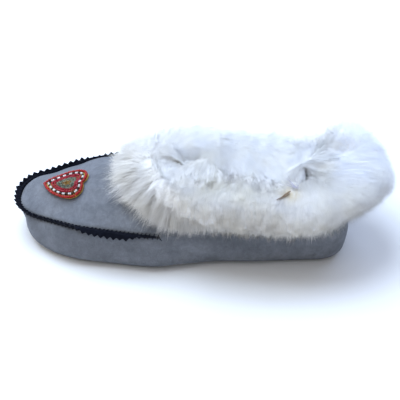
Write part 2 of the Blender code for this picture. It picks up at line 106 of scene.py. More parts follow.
FUR = {
    "share": (0, 0.12, 0.25, 0.40, 0.55, 0.70, 0.85, 1),
    "out":   (15, 15, 17, 19, 20, 21, 25, 30),
    "down":  (32, 29, 21, 15, 14, 13, 13, 14),
    "up":    (8, 9, 11, 14, 13, 11, 13, 16),
    "inner": (8, 10, 15, 20, 21, 20, 17, 15),
    "rise":  (0, 0, 0, 0, 0, 0, 0.08, 0.16),
}
FUR_TUFT = (0.56, 0.03, 6)
FUR_SLOT = 5.0
FUR_GAP = 0.8
STRIP = {
    "s":      (-112, -98, -80, -66, -58, -50, -42, -12, 0, 14, 34, 46, 52, 58, 66, 86, 93, 100, 112),
    "lean":   (35, 55, 58, 60, 60, 60, 62, 58, 46, 60, 62, 45, 8, -30, -48, -50, -40, -12, -5),
    "height": (1, 2.4, 2.7, 2.6, 1.5, 1.7, 3, 3.4, 3.3, 2.4, 2.3, 2.6, 3.4, 4.6, 5.2, 5.2, 3.2, 1.5, 0.8),
}
STRIP_THICK = 1.3
STRIP_GAP = 0.45
STRIP_ROOT = 0.6
TOOTH_PITCH = 4.6
TOOTH_DEPTH = 2.3
STITCH_PITCH = 3.1
THREAD_RADIUS, TAIL_RADIUS = 0.36, 0.26
HEART = {
    "along": (0, 3.8, 9.5, 17, 23.6, 29, 32.6, 33.6, 33.3, 32),
    "half":  (0, 4.3, 8.7, 12.4, 13.7, 13, 9.8, 6.4, 2.9, 0),
}
HEART_MIDDLE = (0.9, 37.6)
HEART_TURN = math.radians(12)
BACKING_THICK = 0.9
BACKING_LIFT = 0.1

# How finely the seen surfaces are drawn.
AROUND = 400
TOP_ROWS = 26
FUR_RING = 960
PELT_RING = 320
PELT_TURNS = (243, -68, 40)
STEPS_A_TOOTH = 10

# Folds of the suede: depth, width, and a line of (x, s, z) that each follows. A negative depth is a ridge.
CREASES = (
    (1.7, 6.5, ((44.5, 115, 26), (47, 126, 20), (45.5, 140, 14), (43.5, 154, 8))),
    (-1.1, 6, ((43, 117, 31), (45.5, 131, 25), (44.5, 146, 19), (42.5, 162, 12))),
    (1, 8, ((46.5, 60, 20), (48.5, 82, 21), (49, 100, 18))),
    (-0.7, 7, ((44.5, 45, 12), (48, 70, 11), (49.5, 92, 10))),
    (0.9, 6, ((41, 172, 26), (40.5, 190, 20), (39, 206, 12))),
    (-0.6, 6, ((40, 186, 28), (39.5, 200, 21), (37.5, 216, 14))),
    (0.9, 5, ((37, 214, 24), (35.5, 232, 19), (30, 244, 17), (14, 249, 18))),
    (1, 7, ((-42.5, 118, 27), (-42.5, 132, 20), (-40, 148, 12))),
    (-0.8, 6, ((-41, 126, 29), (-41, 142, 22), (-38.5, 158, 14))),
    (0.9, 8, ((-45.5, 58, 20), (-47, 80, 20), (-46.5, 100, 16))),
    (0.8, 6, ((-37, 180, 26), (-36.5, 198, 19), (-35.5, 214, 12))),
    (0.8, 5, ((-35.5, 222, 25), (-30, 242, 21), (-12, 249, 20))),
    (0.8, 8, ((33, 14, 19), (24, 6, 20), (10, 2, 21))),
    (0.6, 7, ((38, 30, 12), (30, 12, 11), (16, 4, 12))),
    (0.7, 9, ((22, 96, 44), (26, 80, 41), (28, 62, 38))),
    (-0.5, 8, ((12, 84, 45), (18, 70, 43), (22, 54, 39))),
    (0.7, 9, ((-24, 94, 44), (-27, 76, 41), (-28, 58, 38))),
    (0.5, 7, ((-8, 70, 44), (2, 64, 44), (14, 60, 42))),
    (0.5, 6, ((20, 14, 31), (6, 10, 31), (-12, 14, 31))),
)
# Slow unevenness of the hide: wavelengths along x, y and z, phase, and height.
SWELLS = ((38, 61, 33, 0.4, 0.30), (-27, 43, 29, 2.1, 0.22), (19, -31, 24, 4, 0.14))
# The insole's fleece: curls as lengths along x and s, phase and height, and where it is trodden: depth, half width,
# s and half length.
CURLS = ((2.3, 3.1, 0.3, 0.16), (-3.7, 2.2, 1.9, 0.16), (1.6, -1.9, 4.1, 0.10))
TREADS = ((0.9, 20, 218, 26), (0.7, 28, 75, 30))
# The toe seam's swelling and valley: height, distance from the seam, and width. They fade out behind the seam's end,
# and all unevenness fades out towards the hem, over these lengths.
SEAM_FORM = ((0.5, 4.5, 3), (-1, 0, 1.7))
SEAM_FADE, HEM_FADE = 14, 6
# The seam strip's waves in degrees and its bulges: height, length and phase.
STRIP_WAVES = ((7, 5.3, 0), (6, 3.1, 1), (4, 1.7, 2))
STRIP_BULGES = ((0.10, 1.9, 0), (0.08, 0.83, 1))

# Beads: how far each row lies inside the heart's edge, diameter, length along the row, and the colours in turn.
BEAD_ROWS = (
    (0.9, 2.15, 1.40, ("red",)),
    (3.1, 1.85, 1.19, ("white", "white", "brown", "brown")),
    (5, 1.80, 1.30, ("crimson",)),
    (6.7, 1.60, 1.20, ("crimson",)),
    (8.2, 1.45, 1.05, ("silver",)),
    (9.6, 1.45, 1.05, ("silver",)),
    (10.9, 1.40, 1.05, ("silver", "silver", "bronze")),
    (12.2, 1.40, 1.05, ("bronze",)),
)
# Each glass: its dark and light colour, how metallic it is, and its lowest and highest roughness.
GLASS = {
    "red":     ("red_glass", (0.30, 0.006, 0.005), (0.46, 0.012, 0.008), 0, (0.12, 0.24)),
    "white":   ("white_glass", (0.72, 0.72, 0.72), (0.90, 0.90, 0.88), 0, (0.12, 0.24)),
    "brown":   ("brown_glass", (0.016, 0.003, 0.003), (0.050, 0.010, 0.008), 0, (0.12, 0.24)),
    "crimson": ("crimson_glass", (0.24, 0.008, 0.018), (0.40, 0.016, 0.034), 0, (0.12, 0.24)),
    "silver":  ("silver_lined_glass", (0.085, 0.100, 0.075), (0.23, 0.25, 0.19), 0.5, (0.22, 0.36)),
    "bronze":  ("bronze_glass", (0.20, 0.10, 0.025), (0.42, 0.24, 0.06), 0.7, (0.18, 0.30)),
}
# A whip stitch: its points' shares of the ways down, in over the vamp, out of the wall, out of the ridge, out of the
# vamp and along the seam.
STITCH = (
    (2, 0, 0.25, 0, 0, -1),
    (1.4, 0, 1.05, 0, 0, -0.7),
    (0.2, 0, 0, 1.55, 0, -0.1),
    (0, 0.6, 0, 1.55, 0, 0.3),
    (0, 1.5, 0, 0, 1.05, 0.7),
    (0, 2.2, 0, 0, 0.25, 1),
)

# The fur's hair: how many there are, and how they gather into strands and locks. Guard hairs are longer and thinner.
HAIRS = 215_000
STRANDS = 16_000
SMALL_LOCKS = 1200
BIG_LOCKS = 140
GUARD_SHARE = 0.10
GUARD_EXTRA = (0.05, 0.24)
HAIR_WIDTH = 0.23
HAIR_STEPS = 2
ALONG_HAIR = np.linspace(0, 1, HAIR_STEPS + 1)
HAIR_TAPER = 0.72
# Hair is rooted at these shares of the section, outside and over the opening, and at these turns round it. No hair
# ends below the lowest turn. Turns are in degrees.
OUTER_ROOT, INNER_ROOT = 0.48, 0.80
HAIR_TURNS = (-74, 240)
LOWEST_TURN = -80
# Hair parts along a crest: how far it lies inward on the lateral side and outward on the medial side, how far inward
# it moves at the heel, how far single hairs stray, and how broad it is, in degrees. From there hair sweeps outward or
# in over the opening, and leans along the collar by millimetres: towards the toe, at random, and back.
CREST_SIDE, CREST_HEEL, CREST_STRAY, CREST_WIDTH = 75, 60, 14, 45
SWEEP_OUT, SWEEP_IN = 44, 14
LEAN_TO_TOE = ((0, 0.08, 0.3, 0.6, 0.8, 1), (0, 0, -2.5, 1, 1.5, 0))
LEAN_STRAY, SWEPT_BACK = 3.2, 9
# How strongly tips gather to the tip of their lock or strand, and how far past the fringe a lateral or a medial
# strand may reach.
SMALL_PULL, STRAND_PULL, HAIR_PULL, GUARD_PULL = 0.25, (0.05, 0.40), (0.40, 0.85), 0.3
OVERSHOOT = (0.5, 0.2)
# How dense the hair's roots are at each heading, in degrees from level and outward.
DENSITY = ((-74, -40, 0, 60, 110, 180, 195, 215), (0.8, 1, 1.1, 1, 1, 1, 0.35, 0.1))
# Laid hair clears the suede by this much, and hair higher than this never meets it. The suede is sought this far off,
# and hair further inside it is left.
CLEARANCE = (0.4, 3)
CLEAR_OF_SUEDE = 56
SEARCH, INSIDE = 30, 12
# How far loose hair stands out, as a share of the CAD's section, and how much more it does at the heel.
LOOSE, LOOSE_HEEL = 1.10, 0.05
# Hair near the throat droops onto the vamp: by how much, and at which share from throat to heel.
THROAT_DROOP = 3.5
DROOP_SHARE = ((0, 0.10, 0.15, 0.22, 0.30), (0.6, 0.9, 1.6, 1.6, 0))
# How far the lower fringe draws in, from throat to heel.
FRINGE_IN = ((0, 0.12, 0.25, 0.42, 0.6, 1), (0.12, 0.20, 0.25, 0.21, 0.17, 0.14))
# Loose hair leans in over the foot opening and all but closes it: how far each side reaches inward from the collar
# edge, how high it stands and how square its arch is, from the throat to the heel.
CLOSING = {
    "share":   (0, 0.10, 0.16, 0.25, 0.40, 0.50, 0.60, 0.70, 0.80, 0.90, 1),
    "lateral": (34, 46, 52, 57, 54, 49, 46, 45, 46, 48, 47),
    "medial":  (34, 26, 25, 30, 40, 47, 52, 54, 51, 49, 47),
}
ARCH_HEIGHT = ((0, 0.2, 0.35, 0.5, 0.7, 0.85, 1), (14.5, 13.5, 14.5, 13.6, 12.6, 14.5, 17.5))
UNDER_ARCH = 12.0
# At which angles, in degrees from level and outward, hair belongs to that arch, and at which it stands higher.
OVER_OPENING = ((78, 100, 122, 200, 232), (0, 0.5, 1, 1, 0))
LOFTED = ((-20, 30, 110, 165), (0, 1, 1, 0))
ROUNDNESS = ((0, 0.10, 0.25, 0.40, 0.70, 0.85, 1), (1.6, 1.7, 1.8, 2, 2.1, 2.1, 1.9))
# Dips in the closed fur: where from throat to heel, how long, and how deep.
DIPS = ((0.25, 0.05, 0.13), (0.395, 0.025, 0.17), (0.65, 0.03, 0.13), (0.80, 0.03, 0.06))
# How much higher the loose hair then stands round the collar, as a share.
LOFT = (
    (0, 0.38, 0.45, 0.49, 0.52, 0.545, 0.57, 0.59, 0.61, 0.64, 0.70, 0.78, 0.86, 0.92, 0.96, 0.985, 1),
    (0.08, 0, 0, -0.02, 0.02, 0.15, 0.23, 0.27, 0.05, 0.07, 0.09, 0.18, 0.28, 0.42, 0.44, 0.28, 0.08),
)
# Swellings of the fur: laps round the collar, turns round the section, phase and height.
LUMPS = ((3, 0, 2.6, 0.02), (7, 2, 0, 0.025), (12, -3, 1.3, 0.02), (19, 2, 0.4, 0.02), (29, -4, 2.2, 0.015))
# How finely the way that the fur faces is worked out: laps, turns, and the lowest and highest turn.
FACE_GRID = (360, 86, -90, 250)
# Hair colours, with a painted bluish skylight in the far white and painted shade in the darker, warmer near white.
# Where round the collar painted shade or light makes the fur darker or lighter: the lap, the spread, and by how much.
HAIR_ROOT = np.array([0.88, 0.87, 0.85])
FAR_SKYLIT_WHITE = np.array([0.940, 0.965, 1.0])
NEAR_SHADED_WHITE = np.array([0.815, 0.775, 0.722])
CREAM = np.array([1.0, 0.965, 0.88])
BRIGHTNESS, HAIR_VARIES, STRAND_VARIES, LOCK_VARIES = 0.915, (-0.03, 0.03), (-0.15, 0.06), (-0.04, 0.03)
PAINTED_SHADE_AND_LIGHT = ((0, 0.05, -0.03), (0.20, 0.12, -0.02), (0.45, 0.07, -0.085), (0.72, 0.12, 0.02))
# Stained places in the fur, and last a painted cool shade on the heel: lap, turn, radius, strength and colour.
STAINS_AND_HEEL_SHADE = (
    (0.326, 93, 7, 0.75, (0.90, 0.80, 0.58)),
    (0.931, 84, 6, 0.25, (0.84, 0.83, 0.72)),
    (0.870, 116, 6, 0.25, (0.84, 0.83, 0.72)),
    (0.477, 125, 8, 0.25, (0.84, 0.82, 0.72)),
    (0.165, 84, 12, 0.35, (0.90, 0.87, 0.72)),
    (0.240, 78, 12, 0.30, (0.90, 0.87, 0.72)),
    # Painted cool shade on the heel, not a stain.
    (0.535, 60, 34, 0.60, (0.90, 0.945, 1.05)),
)
# The few dark hairs: a brown wisp, then two fans of grey hairs that are painted shadow in recesses of the fur. Where
# they start and end, how many, how far apart their roots and tips lie, and their colour.
WISPS_AND_SHADOW_HAIRS = (
    ((0.329, 101), (0.297, 79), 20, 0.7, 0.25, (0.17, 0.095, 0.050)),
    # Two fans of grey hairs, painted shadow in recesses of the fur.
    ((0.345, 106), (0.326, 124), 24, 1, 4.2, (0.42, 0.41, 0.50)),
    ((0.199, 112), (0.205, 130), 16, 0.9, 1.8, (0.46, 0.45, 0.46)),
)
WISP_PLACES = 100

# The camera: degrees above the shoe and towards its heel, metres away, degrees of view, and the height it looks at.
ELEVATION, TURN, DISTANCE, VIEW, LOOK_HEIGHT = 44.5, 3, 0.675, 25.86, 0.030
# Round area lights: place, aim, size, power and colour.
LIGHTS = {
    "overhead": ((-0.36, -0.42, 1.36), (0, 0, 0), 1.2, 27, (0.69, 0.82, 1)),
    "rear_sky": ((-0.65, 0.62, 0.95), (0, 0.04, 0.03), 0.9, 7.5, (0.50, 0.66, 1)),
    "toe_side": ((0.25, -1, 1), (0, 0, 0.02), 0.8, 4, (1, 0.98, 0.95)),
}
SKY, SKY_STRENGTH = (0.96, 0.97, 1), 0.43
FLOOR_HEIGHT = -0.0002


# ---- The shoe's loops, as in the CAD ----


def clamp(value):
    return np.clip(value, 0, 1)


def blend(start, end, share):
    return start + (end - start) * share


def bell(distance, width):
    return np.exp(-((distance / width) ** 2))


def waves(at, table):
    return sum(height * np.sin(at / length + phase) for height, length, phase in table)


def unit(vectors):
    return vectors / np.maximum(np.linalg.norm(vectors, axis=-1, keepdims=True), 1e-9)


def square_to(vectors, axis):
    """The directions with their part along the axis taken out."""
    return unit(vectors - axis * np.sum(vectors * axis, axis=-1, keepdims=True))


def smooth(at, knots, values):
    """Values at these places on a cubic curve through the knots."""
    knots, values = np.asarray(knots, float), np.asarray(values, float)
    steps = np.diff(knots)
    slopes = np.diff(values) / steps
    tangents = np.concatenate([slopes[:1], (slopes[1:] + slopes[:-1]) / 2, slopes[-1:]])
    tangents[1:-1][slopes[1:] * slopes[:-1] <= 0] = 0
    i = np.clip(np.searchsorted(knots, at, side="right") - 1, 0, len(steps) - 1)
    t = clamp((at - knots[i]) / steps[i])
    start = (1 + 2 * t) * (1 - t) ** 2 * values[i] + t * (1 - t) ** 2 * steps[i] * tangents[i]
    end = t**2 * (3 - 2 * t) * values[i + 1] + t**2 * (t - 1) * steps[i] * tangents[i + 1]
    return start + end


def end_round(distance, length, power):
    """The share of the full width at a distance in from a rounded end."""
    return clamp(1 - (1 - clamp(distance / length)) ** power) ** (1 / power)


def lengths_of(line):
    """Distance from a line's start to each of its points."""
    return np.concatenate([[0], np.cumsum(np.linalg.norm(np.diff(line, axis=0), axis=1))])


def at_lengths(line, lengths, at):
    return np.stack([np.interp(at, lengths, column) for column in line.T], axis=1)


def plan_loop(front, back, table, front_end, back_end, shares):
    """A loop from the front tip down the lateral side and back up the medial side, as rows of x and s."""
    turn = np.linspace(0, math.pi, DENSE)
    s = (front + back) / 2 - (back - front) / 2 * np.cos(turn)
    sides = []
    for side in ("lateral", "medial"):
        width = smooth(s, table["s"], table[side]) * end_round(s - front, *front_end) * end_round(back - s, *back_end)
        line = np.stack([width, s], axis=1)
        lengths = lengths_of(line)
        sides.append(at_lengths(line, lengths, shares * lengths[-1]))
    return np.concatenate([sides[0], sides[1][-2:0:-1] * (-1, 1)])


def around(loop, axis=0):
    """The way a closed loop runs at each of its points."""
    return np.roll(loop, -1, axis) - np.roll(loop, 1, axis)


def closed(loop):
    return np.concatenate([loop, loop[:1]])


def plan_normals(loop):
    return unit(around(loop)[:, ::-1] * (1, -1))


def raised(plan, z):
    """Plan points with heights, as rows of x, y and z."""
    return np.column_stack([plan[:, 0], plan[:, 1] - LENGTH / 2, np.broadcast_to(z, len(plan))])


def spring(s):
    """How far the sole has risen from the floor towards the toe."""
    return TOE_SPRING * clamp(1 - s / SPRING_LENGTH) ** 2


class Last:
    """The loops round the shoe that every piece is drawn from."""

    def __init__(self):
        shares = np.linspace(0, 1, AROUND // 2 + 1)
        shares -= TOE_BUNCHING * np.sin(2 * math.pi * shares) / (2 * math.pi)
        self.widest = plan_loop(TOE_LEAN, LENGTH, SECTIONS, TOE_END, HEEL_END, shares)
        self.s = self.widest[:, 1].copy()
        self.size = {name: smooth(self.s, SECTIONS["s"], values) for name, values in SECTIONS.items()}
        self.widest[:, 0] += self.size["centre"]
        self.out = plan_normals(self.widest)
        self.shoulder = raised(self.inset(self.size["shoulder_in"]), self.size["shoulder_z"])
        shares = smooth(shares, POINTS["shoulder"], POINTS["collar"])
        plan = plan_loop(THROAT, COLLAR_BACK, COLLAR, THROAT_END, COLLAR_HEEL_END, shares)
        self.collar = raised(plan, smooth(plan[:, 1], COLLAR["s"], COLLAR["z"]))
        self.span = np.linalg.norm(self.collar - self.shoulder, axis=1)

    def inset(self, distance):
        """The widest loop moved inward in plan."""
        return self.widest - self.out * np.broadcast_to(distance, len(self.widest))[:, None]

    def wall_loops(self):
        """The side wall's outer face, from the hem under the foot up to the shoulder."""
        hem_z = SOLE_THICK + GAP + spring(self.s)
        floor_in, widest_z = self.size["floor_in"], self.size["widest_z"]
        loops = [raised(self.inset(floor_in + HEM_TURN), hem_z)]
        for angle in np.radians(np.linspace(0, 90, 9)):
            plan = self.inset(floor_in * (1 - math.sin(angle)))
            loops.append(raised(plan, blend(hem_z, widest_z, 1 - math.cos(angle))))
        for rise in (0.15, 0.3, 0.45, 0.6, 0.74, 0.86, 0.93, 0.97, 1):
            plan = self.inset(self.size["shoulder_in"] * rise**2)
            loops.append(raised(plan, blend(widest_z, self.size["shoulder_z"], rise)))
        return loops

    def top_loop(self, share):
        """A loop on the vamp and quarters, at a share of the way from the shoulder to the collar edge."""
        share = np.broadcast_to(share, len(self.s))[:, None]
        loop = blend(self.shoulder, self.collar, share)
        rise = 1 - (1 - share[:, 0]) ** self.size["dome"]
        loop[:, 2] = blend(self.shoulder[:, 2], self.collar[:, 2], rise)
        return loop


def face_normals(rows):
    """Outward unit normals of a grid of loops that starts at the hem and ends at the collar."""
    grid = np.array(rows)
    return unit(np.cross(around(grid, 1), np.gradient(grid, axis=0)))


def evenly(loop, guide, count):
    """The loop cut across at places that are evenly spaced along the guide loop."""
    lengths = lengths_of(closed(guide))
    places = np.interp(np.arange(count) / count * lengths[-1], lengths, np.arange(len(guide) + 1))
    low = places.astype(int)
    return blend(loop[low % len(loop)], loop[(low + 1) % len(loop)], (places - low)[:, None])


# ---- Meshes ----


def grid_faces(rows, columns, wrap_rows=False):
    """Quads of a grid whose columns close on themselves, and whose rows do if asked."""
    r, c = np.meshgrid(np.arange(rows if wrap_rows else rows - 1), np.arange(columns), indexing="ij")
    low, high, after = r * columns, (r + 1) % rows * columns, (c + 1) % columns
    return np.stack([low + c, low + after, high + after, high + c], axis=-1).reshape(-1, 4)


def spokes(count, across, other):
    """Directions round a ring in the plane of two others."""
    turn = (np.arange(count) / count * 2 * math.pi)[:, None]
    return np.cos(turn) * across + np.sin(turn) * other


def capped(rows, columns):
    """Faces of a tube of rings, with one face over each end."""
    ends = [tuple(range(columns)), tuple(range((rows - 1) * columns, rows * columns))]
    return [*grid_faces(rows, columns), *ends]


def closed_across(rows, columns):
    """Faces of stacked loops, closed at both ends by strips from side to side."""
    faces = [*grid_faces(rows, columns)]
    for start in (0, (rows - 1) * columns):
        for c in range(columns // 2):
            strip = (start + c, start + c + 1, start + columns - c - 1, start + (columns - c) % columns)
            faces.append(tuple(dict.fromkeys(strip)))
    return faces


def joined(parts):
    """Several (points, faces) as one."""
    points, faces, count = [], [], 0
    for own_points, own_faces in parts:
        points.append(own_points)
        faces += [[int(k) + count for k in face] for face in own_faces]
        count += len(own_points)
    return np.concatenate(points), faces


def tube(path, radius, sides=7):
    """Rings round a path, joined into a tube with rounded ends, as points and faces."""
    path = np.asarray(path, float)
    tangent = unit(np.gradient(path, axis=0))
    across = unit(np.cross(tangent, (0.31, 0.52, 0.79)))
    other = np.cross(tangent, across)
    from_end = np.minimum(np.arange(len(path)), np.arange(len(path))[::-1])
    width = (radius * clamp(from_end + 0.35) ** 0.5)[:, None, None]
    rings = path[:, None] + width * spokes(sides, across[:, None], other[:, None])
    return rings.reshape(-1, 3), capped(len(path), sides)


def new_piece(name, points, faces, finishes, slot, nodes=(), sharp=None, finish_of_face=None):
    """Makes a piece from points in millimetres, and hangs it on the CAD's body."""
    mesh = bpy.data.meshes.new(name)
    mesh.from_pydata((np.reshape(points, (-1, 3)) * MM).tolist(), [], [tuple(f) for f in faces])
    for finish in finishes:
        mesh.materials.append(finish)
    if finish_of_face is not None:
        mesh.polygons.foreach_set("material_index", np.asarray(finish_of_face, np.int32))
    work = bmesh.new()
    work.from_mesh(mesh)
    bmesh.ops.recalc_face_normals(work, faces=work.faces)
    work.to_mesh(mesh)
    work.free()
    mesh.shade_smooth()
    if sharp:
        mesh.set_sharp_from_angle(angle=math.radians(sharp))
    return hang(name, mesh, slot, nodes)


def add(name, data):
    """A new object in the scene."""
    made = bpy.data.objects.new(name, data)
    bpy.context.scene.collection.objects.link(made)
    return made


def hang(name, mesh, slot, nodes):
    piece = add(name, mesh)
    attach(piece, "root")
    if nodes:
        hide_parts(*nodes)
    return piece


# ---- Materials ----


class Finish:
    """A material with one Principled shader, and short calls for the nodes that drive it."""

    def __init__(self, name, **values):
        self.material = bpy.data.materials.new(name)
        self.material.use_nodes = True
        self.tree = self.material.node_tree
        self.shader = self.tree.nodes["Principled BSDF"]
        for socket, value in values.items():
            self.shader.inputs[socket.replace("_", " ")].default_value = value
        self.place = self.node("TexCoord").outputs["Object"]

    def node(self, kind, **inputs):
        made = self.tree.nodes.new("ShaderNode" + kind)
        for socket, value in inputs.items():
            self.feed(made.inputs[socket.replace("_", " ")], value)
        return made

    def feed(self, socket, value):
        if isinstance(value, bpy.types.NodeSocket):
            self.tree.links.new(value, socket)
        else:
            socket.default_value = value

    def noise(self, size_mm, detail=3.0, roughness=0.55, distortion=0.0):
        """Noise whose features are about this size."""
        inputs = {"Scale": 1 / (size_mm * MM), "Detail": detail, "Roughness": roughness, "Distortion": distortion}
        return self.node("TexNoise", Vector=self.place, **inputs).outputs["Fac"]

    def cells(self, size_mm, feature="F1"):
        made = self.node("TexVoronoi", Vector=self.place, Scale=1 / (size_mm * MM), Randomness=1.0)
        made.feature = feature
        return made.outputs["Distance"]

    def ramp(self, factor, *stops):
        """A colour ramp through (place, colour or grey) stops."""
        made = self.node("ValToRGB", Fac=factor)
        elements = made.color_ramp.elements
        while len(elements) < len(stops):
            elements.new(0.5)
        for element, (place, colour) in zip(elements, stops):
            colour = (colour,) * 3 if isinstance(colour, (int, float)) else colour
            element.position = place
            element.color = (*colour, 1)
        return made.outputs["Color"]

    def cloudy(self, noise, dark, light):
        """A slow change from one colour to another."""
        return self.ramp(noise, (0.3, dark), (0.7, light))

    def mix(self, factor, a, b, blend_type="OVERLAY"):
        made = self.node("Mix")
        made.data_type = "RGBA"
        made.blend_type = blend_type
        for socket, value in (("Factor", factor), ("A", a), ("B", b)):
            self.feed(made.inputs[socket], value)
        return made.outputs["Result"]

    def grained(self, factor, under, grain, dark, light):
        """A colour with a grain laid over it, between two greys."""
        return self.mix(factor, under, self.cloudy(grain, dark, light))

    def maths(self, kind, a, b):
        made = self.node("Math")
        made.operation = kind
        self.feed(made.inputs[0], a)
        self.feed(made.inputs[1], b)
        return made.outputs[0]

    def between(self, value, low, high, to_low, to_high):
        made = self.node("MapRange", Value=value, From_Min=low, From_Max=high, To_Min=to_low, To_Max=to_high)
        return made.outputs["Result"]

    def done(self, colour, rough, *layers):
        """Drives the colour, the roughness by (noise, low, high) and the bump by (height, depth in mm) layers."""
        self.feed(self.shader.inputs["Base Color"], colour)
        value, low, high = rough
        self.feed(self.shader.inputs["Roughness"], self.between(value, 0.3, 0.7, low, high))
        normal = None
        for height, depth_mm in layers:
            made = self.node("Bump", Height=height, Distance=depth_mm * MM, Strength=1.0)
            if normal is not None:
                self.feed(made.inputs["Normal"], normal)
            normal = made.outputs["Normal"]
            self.feed(self.shader.inputs["Normal"], normal)
        return self.material


def suede_finish():
    made = Finish("grey_suede", Sheen_Weight=0.22, Sheen_Roughness=0.45, Specular_IOR_Level=0.15)
    made.shader.inputs["Sheen Tint"].default_value = (0.75, 0.82, 0.95, 1)
    patches = made.noise(26.0, 4.0, 0.6, 0.8)
    nap = made.noise(5.0, 5.0, 0.65, 0.5)
    fibre = made.noise(0.9, 4.0, 0.7)
    greys = ((0.32, (0.138, 0.149, 0.170)), (0.52, (0.162, 0.173, 0.196)), (0.70, (0.190, 0.201, 0.224)))
    colour = made.grained(0.55, made.ramp(patches, *greys), nap, 0.36, 0.64)
    colour = made.grained(0.40, colour, fibre, 0.34, 0.66)
    # The suede is darker towards the bottom, up to about 17 mm above the floor.
    height = made.node("SeparateXYZ", Vector=made.place).outputs["Z"]
    low_darkening = made.between(made.maths("ADD", height, made.maths("MULTIPLY", nap, 0.010)), 0.007, 0.017, 0.72, 1.0)
    darker_low = made.node("CombineColor", Red=low_darkening, Green=low_darkening, Blue=low_darkening).outputs["Color"]
    colour = made.mix(1.0, colour, darker_low, "MULTIPLY")
    return made.done(colour, (fibre, 0.86, 1.0), (nap, 0.5), (fibre, 0.28), (made.noise(0.28, 2.0, 0.6), 0.10))


def fleece_finish():
    made = Finish("cream_fleece", Sheen_Weight=0.3, Specular_IOR_Level=0.1)
    curls, cloud = made.cells(2.6), made.noise(9.0, 4.0)
    colour = made.cloudy(cloud, (0.60, 0.555, 0.455), (0.77, 0.73, 0.63))
    colour = made.mix(0.5, colour, made.ramp(curls, (0.0, 0.62), (0.8, 0.30)))
    return made.done(colour, (cloud, 0.92, 1.0), (curls, 0.9), (made.noise(0.6, 4.0), 0.3))


def leather_finish(name, dark, light, grain_mm=0.9):
    made = Finish(name, Specular_IOR_Level=0.3)
    cloud = made.noise(7.0, 5.0, 0.6)
    colour = made.grained(0.35, made.cloudy(cloud, dark, light), made.noise(1.1, 4.0), 0.36, 0.62)
    return made.done(colour, (cloud, 0.62, 0.85), (made.cells(grain_mm, "DISTANCE_TO_EDGE"), 0.25), (cloud, 0.4))


def felt_finish():
    made = Finish("black_felt", Sheen_Weight=0.03, Sheen_Roughness=0.5, Specular_IOR_Level=0.06)
    fibre, cloud = made.noise(0.55, 5.0, 0.7, 0.6), made.noise(3.2, 4.0)
    colour = made.cloudy(cloud, (0.0022, 0.0028, 0.0065), (0.0060, 0.0072, 0.0140))
    fluff = made.ramp(fibre, (0.45, (0.003, 0.004, 0.008)), (0.75, (0.020, 0.024, 0.038)))
    return made.done(made.mix(0.35, colour, fluff, "MIX"), (fibre, 0.85, 1.0), (fibre, 0.35), (cloud, 0.5))


def bead_finish(name, dark, light, metallic, roughness):
    made = Finish(name, Metallic=metallic, Coat_Weight=0.18, Coat_Roughness=0.10, Specular_IOR_Level=0.35)
    each, flaws = made.noise(1.9, 1.0, 0.5), made.noise(0.5, 3.0)
    colour = made.grained(0.25, made.ramp(each, (0.34, dark), (0.66, light)), flaws, 0.38, 0.62)
    return made.done(colour, (each, *roughness), (flaws, 0.04))


def fur_finish():
    """The hair's own colour, from its root to its tip, with slow tints of the pelt over it."""
    made = Finish("white_fur", Specular_IOR_Level=0.12, Sheen_Weight=0.0)
    own = made.node("Attribute")
    own.attribute_name = "hair_colour"
    tint = made.ramp(made.noise(16.0, 3.0), (0.35, (0.97, 0.975, 1.0)), (0.60, (1.0, 0.99, 0.96)))
    return made.done(made.mix(0.7, own.outputs["Color"], tint, "MULTIPLY"), (made.noise(3.0), 0.75, 0.95))


def pelt_finish():
    """The dense underfur that shows between the locks."""
    made = Finish("underfur", Specular_IOR_Level=0.1)
    cloud = made.noise(8.0, 5.0, 0.65)
    colour = made.cloudy(cloud, (0.80, 0.79, 0.77), (0.90, 0.90, 0.91))
    return made.done(colour, (cloud, 0.9, 1.0), (made.noise(1.2, 4.0), 1.0))


# ---- Upper, sole and insole ----


def distance_to_line(points, line):
    """Distance of each point to a line of points, and how far along the line it lies, from 0 to 1."""
    line = np.asarray(line, float)
    lengths = lengths_of(line)
    nearest, where = np.full(len(points), 1e9), np.zeros(len(points))
    for i, step in enumerate(np.diff(line, axis=0)):
        t = clamp((points - line[i]) @ step / (step @ step))
        distance = np.linalg.norm(points - line[i] - t[:, None] * step, axis=1)
        closer = distance < nearest
        nearest = np.where(closer, distance, nearest)
        where = np.where(closer, blend(lengths[i], lengths[i + 1], t) / lengths[-1], where)
    return nearest, where


def softened(grid, last):
    """The suede's outer face with its folds, its slow unevenness and the valley of the toe seam."""
    points = grid.reshape(-1, 3)
    shift = np.zeros(len(points))
    for depth, width, line in CREASES:
        distance, where = distance_to_line(points, [(x, s - LENGTH / 2, z) for x, s, z in line])
        shift -= depth * bell(distance, width) * np.sin(math.pi * np.clip(where, 0.04, 0.96)) ** 0.6
    for x, y, z, phase, height in SWELLS:
        shift += height * np.sin(2 * math.pi * (points[:, 0] / x + points[:, 1] / y + points[:, 2] / z) + phase)
    shift = shift.reshape(grid.shape[:2])
    from_seam = np.linalg.norm(grid - last.shoulder, axis=2)
    sewn = clamp((SEAM_END + 2 - last.s) / SEAM_FADE)
    shift += sewn * sum(height * bell(from_seam - place, width) for height, place, width in SEAM_FORM)
    under = clamp((grid[:, :, 2] - SOLE_THICK - GAP - spring(last.s)) / HEM_FADE)
    return grid + face_normals(grid) * (shift * under)[:, :, None]


